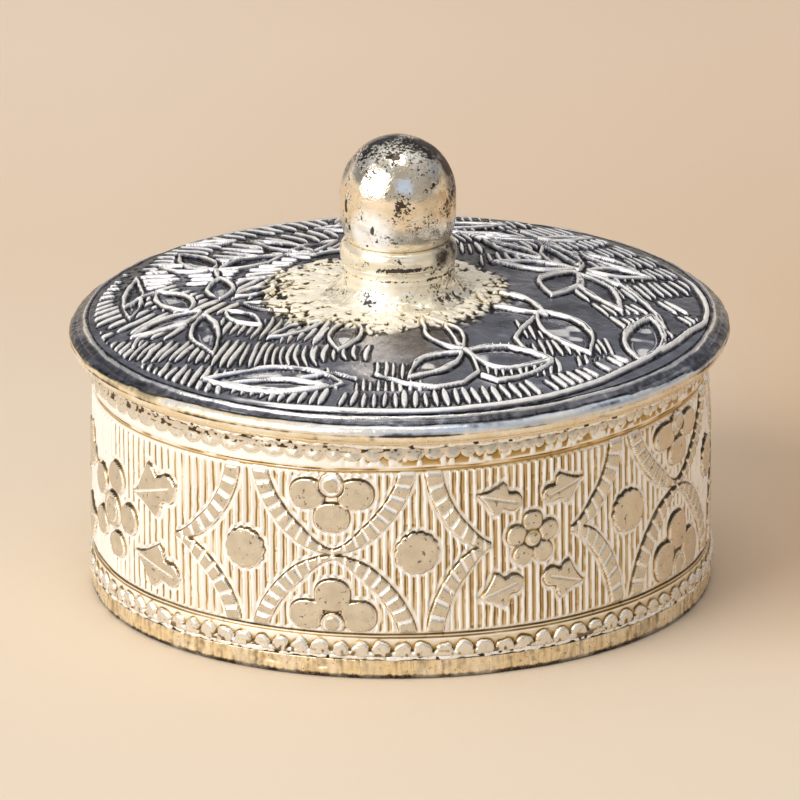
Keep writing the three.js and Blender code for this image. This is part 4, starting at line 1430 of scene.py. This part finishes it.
class KUMKUM_OT_floor_plate(bpy.types.Operator):
    """Make the disc that closes the drum, faintly dished and marked by turning"""

    bl_idname = "kumkum.floor_plate"
    bl_label = "Floor Plate"

    def execute(self, context):
        angles = full_turn(160)
        radii = np.linspace(0.0, WALL_INSIDE - 0.05, 60)
        x, y = radii * np.sin(angles)[:, None], radii * np.cos(angles)[:, None]
        wave = 0.03 * drift(x, y, 0.0, 7.0, 91) + 0.012 * np.cos(radii * 7.0)
        under = FOOT_TOP - FLOOR_THICKNESS + 0.03 + wave
        over = FOOT_TOP - 0.06 + wave[:, ::-1]
        radius = joined_outline(len(angles), radii, radii[::-1])
        height = np.concatenate([under, over], 1)
        height[:, 0], height[:, -1] = height[:, 0].mean(), height[:, -1].mean()
        mesh = poled("floor_disc", radius, height, angles, (0, 2 * len(radii)), {"relief": PLAIN_SHADE})
        place(mesh, "inside", "box", "floor_plate")
        return {"FINISHED"}


class KUMKUM_OT_lid_plate(bpy.types.Operator):
    """Make the chased and domed plate of the lid as four sectors"""

    bl_idname = "kumkum.lid_plate"
    bl_label = "Lid Plate"

    def execute(self, context):
        settings = context.scene.kumkum_lid
        angles = full_turn(settings.columns)
        radii = np.concatenate([np.linspace(PLATE_RADIUS, 11.0, 158), np.linspace(11.0, 5.2, 30)[1:]])
        lift, worked, pool = lid_relief(angles[:, None], radii[None, :], settings)
        top = dome_height(radii) + lift
        shade = clipped(worked + 0.5 * (stands_out(lift, 3, 2, 1.6) - 0.5))
        flat_inner = SPIGOT_RADIUS - 2.0 * SPIGOT_WALL
        under_r = np.linspace(BASE_RADIUS, flat_inner - SPIGOT_WALL, 10)
        under_z = dome_height(under_r) - PLATE_THICKNESS
        flat = [(flat_inner, PLATE_SEAT), (PLATE_RADIUS, PLATE_SEAT)]
        before = [(BORE_RADIUS, WASHER_TOP), *zip(under_r, under_z), *flat]
        after = [(BORE_RADIUS, KNOB_SEAT_LEVEL)]
        for number, part in sectors(settings.columns, 33.0):
            kept = {"relief": (PLAIN_SHADE, shade[part], PLAIN_SHADE), "gilt": (0.0, pool[part], 1.0)}
            name = f"lid_chased_plate_{number}"
            mesh = turned_band(name, angles[part], before, (radii, top[part]), after, kept, False)
            place(mesh, "chased", "lid", "lid_plate")
        return {"FINISHED"}


class KUMKUM_OT_lid_rim(bpy.types.Operator):
    """Make the lid's rolled rim, its plain flange and the wavering ridge beside the plate"""

    bl_idname = "kumkum.lid_rim"
    bl_label = "Lid Rim"

    def execute(self, context):
        angles = full_turn(1200)
        shoulder = PLATE_RADIUS + 0.05
        roll = (PLATE_EDGE_TOP - MOUTH_TOP) * 0.36
        centre_r, centre_z = RIM_RADIUS - roll, MOUTH_TOP + roll
        low_r, low_z = arc_points(centre_r, centre_z, roll, -90, 75, 16)
        flat_r, flat_z = along([(low_r[-1], low_z[-1]), (shoulder, PLATE_EDGE_TOP)], 0.09)
        line_r, line_z = np.concatenate([low_r, flat_r[1:]]), np.concatenate([low_z, flat_z[1:]])
        waver = noise_on(angles, 101)(0.0, 6.0)
        small = noise_on(angles, 102)(0.0, 1.6)
        surface = noise_on(angles, 103, line_r)(line_z, 1.4)
        fine = noise_on(angles, 104, line_r)(line_z, 0.45)

        upper = line_z > centre_z + 0.3
        ridge_high = context.scene.kumkum_lid.rim_ridge / MM
        ridge_at = shoulder + 0.42 + 0.12 * waver + 0.06 * small
        ridge = ridge_high * (1.0 + 0.4 * small) * bell(line_r - ridge_at, 0.16) * upper
        groove = -0.09 * bell(line_z - 25.0, 0.09) * (line_r > centre_r + 0.2)
        out = 0.045 * surface + 0.02 * fine + 0.05 * waver - 0.06
        free = smooth(0.0, 0.35, line_z - MOUTH_TOP)
        radius = line_r + (groove + out * (line_r > centre_r)) * free
        height = line_z + ridge + (0.04 * surface + 0.02 * fine) * upper * free

        run = np.concatenate([[0.0], np.cumsum(np.hypot(np.diff(line_r), np.diff(line_z)))])
        streak = round_drift(angles[:, None], 4.0, run, 0.5, 105)
        aside = np.degrees(np.abs(wrapped(angles)))[:, None]
        from_fold = run - run[len(low_r) - 1] + 0.75 * smooth(35.0, 75.0, aside)
        flange = smooth(0.0, 0.12, from_fold)
        seam = 0.6 * bell(line_r - shoulder, 0.16) * upper
        fold = bell(from_fold - (0.06 + 0.16 * small), 0.11) * (0.85 + 0.3 * waver)
        white = 1.9 * ridge / ridge_high * 0.45
        flange_shade = 0.4 + white + 0.2 * surface + 0.16 * fine + 0.2 * smooth(0.35, 0.7, streak)
        # Painted shade: the flange darker at the sides and the back
        flange_shade = flange_shade - 0.06 * smooth(60.0, 120.0, aside)
        roll_shade = 0.62 + 0.36 * streak + 0.14 * fine + 4.5 * groove
        shade = clipped(flange * flange_shade + (1.0 - flange) * roll_shade - seam - 0.75 * fold)
        kept = {
            "relief": (PLAIN_SHADE, shade, PLAIN_SHADE),
            # gilt marks the underside, where the painted reflection of the table is laid
            "gilt": (1.0, smooth(25.2, 25.0, line_z), 1.0),
            "flange": (0.0, flange, 0.0),
        }
        before = [(WALL_INSIDE, MOUTH_TOP)]
        after = [(shoulder, PLATE_SEAT), (WALL_INSIDE, PLATE_SEAT)]
        mesh = turned_band("lid_rolled_rim", angles, before, (radius, height), after, kept)
        place(mesh, "rim", "lid", "lid_rim")
        return {"FINISHED"}


class KUMKUM_OT_lid_spigot(bpy.types.Operator):
    """Make the thin ring under the lid that drops into the mouth"""

    bl_idname = "kumkum.lid_spigot"
    bl_label = "Lid Spigot"

    def execute(self, context):
        angles = full_turn(480)
        inner = SPIGOT_RADIUS - SPIGOT_WALL
        edge = SPIGOT_WALL * 0.3
        low_r, low_z = arc_points(SPIGOT_RADIUS - edge, SPIGOT_BOTTOM + edge, edge, -90, 0, 5)
        back_r, back_z = arc_points(inner + edge, SPIGOT_BOTTOM + edge, edge, -180, -90, 5)
        side_z = np.linspace(SPIGOT_BOTTOM + edge, PLATE_SEAT, 9)[1:]
        waver = 0.05 * round_drift(angles[:, None], 28.0, side_z, 5.0, 111) - 0.06
        waver = waver * smooth(0.0, 0.8, side_z - SPIGOT_BOTTOM - edge)
        radius = joined_outline(len(angles), back_r, low_r, SPIGOT_RADIUS + waver, inner - waver[:, ::-1])
        height = joined_outline(len(angles), back_z, low_z, side_z, side_z[::-1])
        span = 0, radius.shape[1]
        mesh = shell("lid_spigot_ring", radius, height, angles, True, span, {"relief": PLAIN_SHADE})
        place(mesh, "inside", "lid", "lid_spigot")
        return {"FINISHED"}


def knob_flare(angles, waver):
    """The knob's foot: a hollow curve drawn in to a stem, rough and wavering low down, with a shallow
    groove."""
    stem = COLLAR_RADIUS - 0.2
    flare, flare_high = BASE_RADIUS - stem, 1.9
    curve = arc_points(BASE_RADIUS, KNOB_SEAT_LEVEL + flare_high, flare, 270, 180, 26, flare_high / flare)
    wall = along([(stem, KNOB_SEAT_LEVEL + flare_high), (stem, BASE_TOP)], 0.12)
    line_r, line_z = (np.concatenate([first, second[1:]]) for first, second in zip(curve, wall))
    noise = noise_on(angles, 120, line_r)
    rough, fine, broad = noise(line_z, 0.8, 1), noise(line_z, 0.35, 2), noise(line_z, 3.0, 3)
    low = smooth(1.8, 0.2, line_z - KNOB_SEAT_LEVEL)
    out = low * (0.16 * rough + 0.07 * fine) + waver * broad + 0.02 * fine
    groove = -0.1 * bell(line_z - KNOB_SEAT_LEVEL - 2.6, 0.2)
    lift = (out + groove) * smooth(0.0, 0.4, BASE_TOP - line_z)
    off_seat = line_z > KNOB_SEAT_LEVEL + 0.02
    height = line_z + low * np.maximum(0.1 * rough + 0.05 * fine, -0.02) * off_seat
    shade = clipped(0.5 + 1.6 * (lift - 0.5 * waver * broad))
    before, after = [(BORE_RADIUS, KNOB_SEAT_LEVEL)], [(BORE_RADIUS, BASE_TOP)]
    kept = {"relief": (PLAIN_SHADE, shade, PLAIN_SHADE)}
    return turned_band("knob_flare", angles, before, (line_r + lift, height), after, kept)


def knob_ring(angles, waver):
    """The knob's collar: a rounded lower edge and a side that bends in over its top half."""
    flat, edge = 4.85, 0.3
    shoulder = COLLAR_RADIUS - flat
    side_high = (COLLAR_TOP - BASE_TOP) / 2.0
    lower = arc_points(COLLAR_RADIUS - edge, BASE_TOP + edge, edge, -90, -10, 6)
    upper = arc_points(flat, BASE_TOP + side_high, shoulder, 0, 90, 16, side_high / shoulder)
    line_r, line_z = (np.concatenate(parts) for parts in zip(lower, upper))
    noise = noise_on(angles, 130, line_r)
    lift = waver * noise(line_z, 2.6, 1) + 0.02 * noise(line_z, 0.5, 2) - 0.03
    before, after = [(BORE_RADIUS, BASE_TOP)], [(BORE_RADIUS, COLLAR_TOP)]
    return turned_band("knob_ring", angles, before, (line_r + lift, line_z), after)


def knob_bullet(angles, waver):
    """The knob's ball: drawn in to a neck below, straight at the side and half a sphere above, over a
    blind bore."""
    neck, neck_high = 4.7, 2.9
    drawn = BALL_RADIUS - neck
    side_low, side_top = COLLAR_TOP + neck_high, BALL_TOP - BALL_RADIUS
    lower = arc_points(neck, side_low, drawn, -90, 0, 20, neck_high / drawn)
    wall = along([(BALL_RADIUS, side_low), (BALL_RADIUS, side_top)], 0.16)
    upper = arc_points(0.0, side_top, BALL_RADIUS, 0, 90, 60)
    line_r, line_z = (np.concatenate([low, side[1:-1], cap]) for low, side, cap in zip(lower, wall, upper))
    noise = noise_on(angles, 140, line_r)
    pits, cloud = smooth(0.5, 0.78, noise(line_z, 0.5, 3)), smooth(-0.3, 0.6, noise(line_z, 2.4, 4))
    lift = waver * noise(line_z, 3.2, 1) + 0.014 * noise(line_z, 0.9, 2) - 0.07 * pits * cloud - 0.05
    lift = lift * smooth(0.0, 0.5, line_z - COLLAR_TOP)
    on_cap = line_z > side_top
    radius = line_r + lift * np.where(on_cap, line_r / BALL_RADIUS, 1.0)
    height = line_z + lift * np.where(on_cap, (line_z - side_top) / BALL_RADIUS, 0.0)
    height[:, -1] = height[:, -1].mean()
    hole = SCREW_TOP + 0.08
    before = [(0.0, hole), (BORE_RADIUS, hole), (BORE_RADIUS, COLLAR_TOP)]
    shade = joined_outline(len(angles), [PLAIN_SHADE] * len(before), clipped(0.5 - 0.4 * pits * cloud))
    span = len(before), len(before) + len(line_r)
    radius, height = outline_of(len(angles), before, (radius, height), ())
    return poled("knob_bullet", radius, height, angles, span, {"relief": shade})


class KUMKUM_OT_knob(bpy.types.Operator):
    """Make the knob's flared foot, its collar and its ball"""

    bl_idname = "kumkum.knob"
    bl_label = "Knob"

    def execute(self, context):
        waver = context.scene.kumkum_knob.waver / MM
        angles = full_turn(400)
        place(knob_flare(angles, waver), "knob", "lid", "knob_base")
        place(knob_ring(angles, waver), "knob", "lid", "knob_collar")
        place(knob_bullet(angles, waver), "knob", "lid", "knob_ball")
        return {"FINISHED"}


def washer_disc(angles):
    """The washer under the plate: a flat ring with rounded outer edges."""
    edge = 0.12
    low = arc_points(WASHER_RADIUS - edge, WASHER_BOTTOM + edge, edge, -90, 0, 5)
    high = arc_points(WASHER_RADIUS - edge, WASHER_TOP - edge, edge, 0, 90, 5)
    line = [np.concatenate(parts) for parts in zip(low, high)]
    before, after = [(BORE_RADIUS, WASHER_BOTTOM)], [(BORE_RADIUS, WASHER_TOP)]
    return turned_band("knob_washer_disc", angles, before, line, after)


def cross_screw(angles, slot):
    """The screw: a head with a cross sunk in it, and a shank whose thread is a wave that climbs round
    it."""
    rounding = (WASHER_BOTTOM - SCREW_BOTTOM) / 2.0
    flat = np.linspace(0.0, SCREW_HEAD_RADIUS - rounding, 26)
    bend = arc_points(SCREW_HEAD_RADIUS - rounding, SCREW_BOTTOM + rounding, rounding, -90, 0, 9)
    head_r = np.concatenate([flat, bend[0][1:], [SCREW_HEAD_RADIUS]])
    head_z = np.concatenate([np.full(len(flat), SCREW_BOTTOM), bend[1][1:], [WASHER_BOTTOM]])
    around = angles[:, None]
    from_arm = np.minimum(np.abs(head_r * np.sin(around)), np.abs(head_r * np.cos(around)))
    cross = smooth(0.12, 0.0, from_arm - slot / 2.0) * smooth(1.75, 1.6, head_r)
    shank_z = np.linspace(WASHER_BOTTOM, SCREW_TOP - 0.4, 60)
    depth, pitch = 0.1, 0.5
    thread = SCREW_RADIUS - depth + depth * np.cos(2.0 * math.pi * shank_z / pitch - around)
    radius = joined_outline(len(angles), head_r, thread, [SCREW_RADIUS - 0.35, 0.0])
    height = joined_outline(len(angles), head_z + 0.8 * cross, shank_z, [SCREW_TOP, SCREW_TOP])
    span = 0, len(head_r) - 1
    return poled("knob_cross_screw", radius, height, angles, span, {"relief": PLAIN_SHADE})


class KUMKUM_OT_knob_fixing(bpy.types.Operator):
    """Make the washer and the cross-slotted screw that hold the knob from below"""

    bl_idname = "kumkum.knob_fixing"
    bl_label = "Knob Fixing"

    def execute(self, context):
        angles = full_turn(192)
        slot = context.scene.kumkum_knob.slot_width / MM
        place(washer_disc(angles), "steel", "lid", "knob_washer")
        place(cross_screw(angles, slot), "steel", "lid", "knob_screw")
        return {"FINISHED"}


# Stage


def table_finish(settings):
    """Cream paper: a floor with a warm painted shadow beside the box, and behind it a beige part that gets
    paler with distance and has painted shade to the right."""
    tree = finish_tree("table_paper")
    parts = tree.parts_of(tree.where())
    across, back = parts["X"], parts["Y"]
    keys = "floor_colour", "backdrop_colour", "far_colour"
    floor, wall, far_wall = (tuple(getattr(settings, key)) for key in keys)
    # Painted shadow: the floor to the right of the box, darker and warmer
    beside = tree.product(tree.ranged(across, 0.02, 0.042), tree.ranged(back, -0.035, 0.0))
    far = tree.ranged(back, 0.085, 0.165)
    # Painted shade: the wall behind darker to the right
    right_shade_tone = (0.94, 0.905, 0.865)
    right_shaded_wall = tree.mixed(far, toned(wall, right_shade_tone), toned(far_wall, right_shade_tone))
    walls = tree.over(tree.mixed(far, wall, far_wall), right_shaded_wall, across, -0.03, 0.035)
    ground = tree.mixed(beside, floor, toned(floor, (0.96, 0.82, 0.7)))
    colour = tree.over(ground, walls, back, 0.055, 0.105)
    colour = tree.over(colour, scaled(floor, 0.93), tree.noise(60.0, 2.0), 0.35, 0.7, 0.12)
    tree.surface(colour, 0.85, 0.0)
    tree.shader.inputs["Specular IOR Level"].default_value = 0.2
    tree.bump(tree.noise(1.2, 4.0, 0.1, 0.6), 0.08, 0.3)
    return tree.owner


def table_sheet(name, half_width, count):
    """A level square sheet round the origin, as a grid of points that far apart in X and Y, in metres."""
    run = np.linspace(-half_width, half_width, count)
    points = np.zeros((count, count, 3))
    points[:, :, 0], points[:, :, 1] = run[:, None], run[None, :]
    j, i = np.arange(count - 1)[:, None], np.arange(count - 1)[None, :]
    quads = np.stack([j * count + i, (j + 1) * count + i, (j + 1) * count + i + 1, j * count + i + 1], -1)
    quads = quads.reshape(-1, 4)
    return put_mesh(name, points / MM, [quads], np.ones(len(quads), bool), {})


def softbox(name, power, width, spot, target, colour):
    """A square area light at a place, turned to its target."""
    light = bpy.data.lights.new(name, "AREA")
    light.shape = "SQUARE"
    light.size = width
    light.energy = power
    light.color = colour
    made = bpy.data.objects.new(name, light)
    bpy.context.scene.collection.objects.link(made)
    made.location = spot
    made.rotation_euler = (Vector(target) - Vector(spot)).to_track_quat("-Z", "Y").to_euler()


def dim_room(settings):
    """The world: a colour for each height of view, and over it one colour on the camera's side."""
    tree = Tree(bpy.data.worlds.new("dim_room"), "Background")
    keys = "room_low", "room_behind", "room_above", "room_front"
    low, behind, above, front = (tuple(getattr(settings, key)) for key in keys)
    way = tree.parts_of(tree.add("ShaderNodeTexCoord").outputs["Generated"])
    levels = (0.0, low), (0.1, low), (0.27, behind), (0.55, behind), (0.85, above), (1.0, above)
    colour = tree.over(tree.ramp(way["Z"], *levels), front, way["Y"], 0.1, -0.5)
    tree.feed(tree.shader.inputs["Color"], colour)
    tree.shader.inputs["Strength"].default_value = 1.0
    return tree.owner


def place_camera(settings):
    """The camera: in front of the box, at one distance and elevation from its target, and rolled a
    little."""
    camera = bpy.data.cameras.new("camera")
    camera.lens = settings.lens
    camera.sensor_width = 36.0
    camera.clip_start, camera.clip_end = 0.01, 10.0
    eye = bpy.data.objects.new("camera", camera)
    bpy.context.scene.collection.objects.link(eye)
    away = Vector((0.0, -math.cos(settings.elevation), math.sin(settings.elevation)))
    eye.location = Vector((0.0, 0.0, settings.aim_height)) + away * settings.distance
    eye.rotation_mode = "QUATERNION"
    look = (-away).to_track_quat("-Z", "Y").to_matrix()
    eye.rotation_quaternion = (look @ Matrix.Rotation(-settings.roll, 3, "Z")).to_quaternion()
    bpy.context.scene.camera = eye


class KUMKUM_OT_stage(bpy.types.Operator):
    """Make the table, the room's light, the soft lights and the camera"""

    bl_idname = "kumkum.stage"
    bl_label = "Stage"

    def execute(self, context):
        settings = context.scene.kumkum_stage
        mesh = table_sheet("table_top", 1.6, 33)
        mesh.materials.append(table_finish(settings))
        table = bpy.data.objects.new("table_top", mesh)
        context.scene.collection.objects.link(table)

        target = (0.0, 0.0, 0.02)
        softbox("key_softbox", settings.key_power, 0.7, (-0.58, -0.45, 0.44), target, (1.0, 0.98, 0.95))
        softbox("top_softbox", settings.top_power, 0.34, (0.0, -0.08, 0.87), target, (1.0, 0.99, 0.97))
        softbox("sky_window", settings.sky_power, 0.46, (0.17, -0.68, 0.4), target, (0.22, 0.48, 1.0))
        context.scene.world = dim_room(settings)
        context.scene.view_settings.view_transform = "Standard"
        place_camera(settings)
        return {"FINISHED"}


STEPS = (
    KUMKUM_OT_drum_field,
    KUMKUM_OT_drum_friezes,
    KUMKUM_OT_solder_seams,
    KUMKUM_OT_mouth_ring,
    KUMKUM_OT_foot_ring,
    KUMKUM_OT_floor_plate,
    KUMKUM_OT_lid_plate,
    KUMKUM_OT_lid_rim,
    KUMKUM_OT_lid_spigot,
    KUMKUM_OT_knob,
    KUMKUM_OT_knob_fixing,
    KUMKUM_OT_stage,
)

GROUPS = (
    ("kumkum_drum", DrumSettings),
    ("kumkum_lid", LidSettings),
    ("kumkum_knob", KnobSettings),
    ("kumkum_finish", FinishSettings),
    ("kumkum_stage", StageSettings),
)


class KUMKUM_PT_panel(bpy.types.Panel):
    """The box's settings and the steps that build it"""

    bl_idname = "KUMKUM_PT_panel"
    bl_label = "Kumkum Box"
    bl_space_type = "VIEW_3D"
    bl_region_type = "UI"
    bl_category = "Kumkum Box"

    def draw(self, context):
        for key, group in GROUPS:
            column = self.layout.column(align=True)
            for field in group.__annotations__:
                column.prop(getattr(context.scene, key), field)
        for step in STEPS:
            self.layout.operator(step.bl_idname)


def register():
    """Registers the settings, the steps and the panel."""
    for key, group in GROUPS:
        bpy.utils.register_class(group)
        setattr(bpy.types.Scene, key, bpy.props.PointerProperty(type=group))
    for made in (*STEPS, KUMKUM_PT_panel):
        bpy.utils.register_class(made)


def unregister():
    """Takes the panel, the steps and the settings away again."""
    for made in reversed((*STEPS, KUMKUM_PT_panel)):
        bpy.utils.unregister_class(made)
    for key, group in reversed(GROUPS):
        delattr(bpy.types.Scene, key)
        bpy.utils.unregister_class(group)


def main():
    """Builds every piece and the stage."""
    register()
    bpy.ops.kumkum.drum_field()
    bpy.ops.kumkum.drum_friezes()
    bpy.ops.kumkum.solder_seams()
    bpy.ops.kumkum.mouth_ring()
    bpy.ops.kumkum.foot_ring()
    bpy.ops.kumkum.floor_plate()
    bpy.ops.kumkum.lid_plate()
    bpy.ops.kumkum.lid_rim()
    bpy.ops.kumkum.lid_spigot()
    bpy.ops.kumkum.knob()
    bpy.ops.kumkum.knob_fixing()
    bpy.ops.kumkum.stage()


if __name__ == "__main__":
    main()
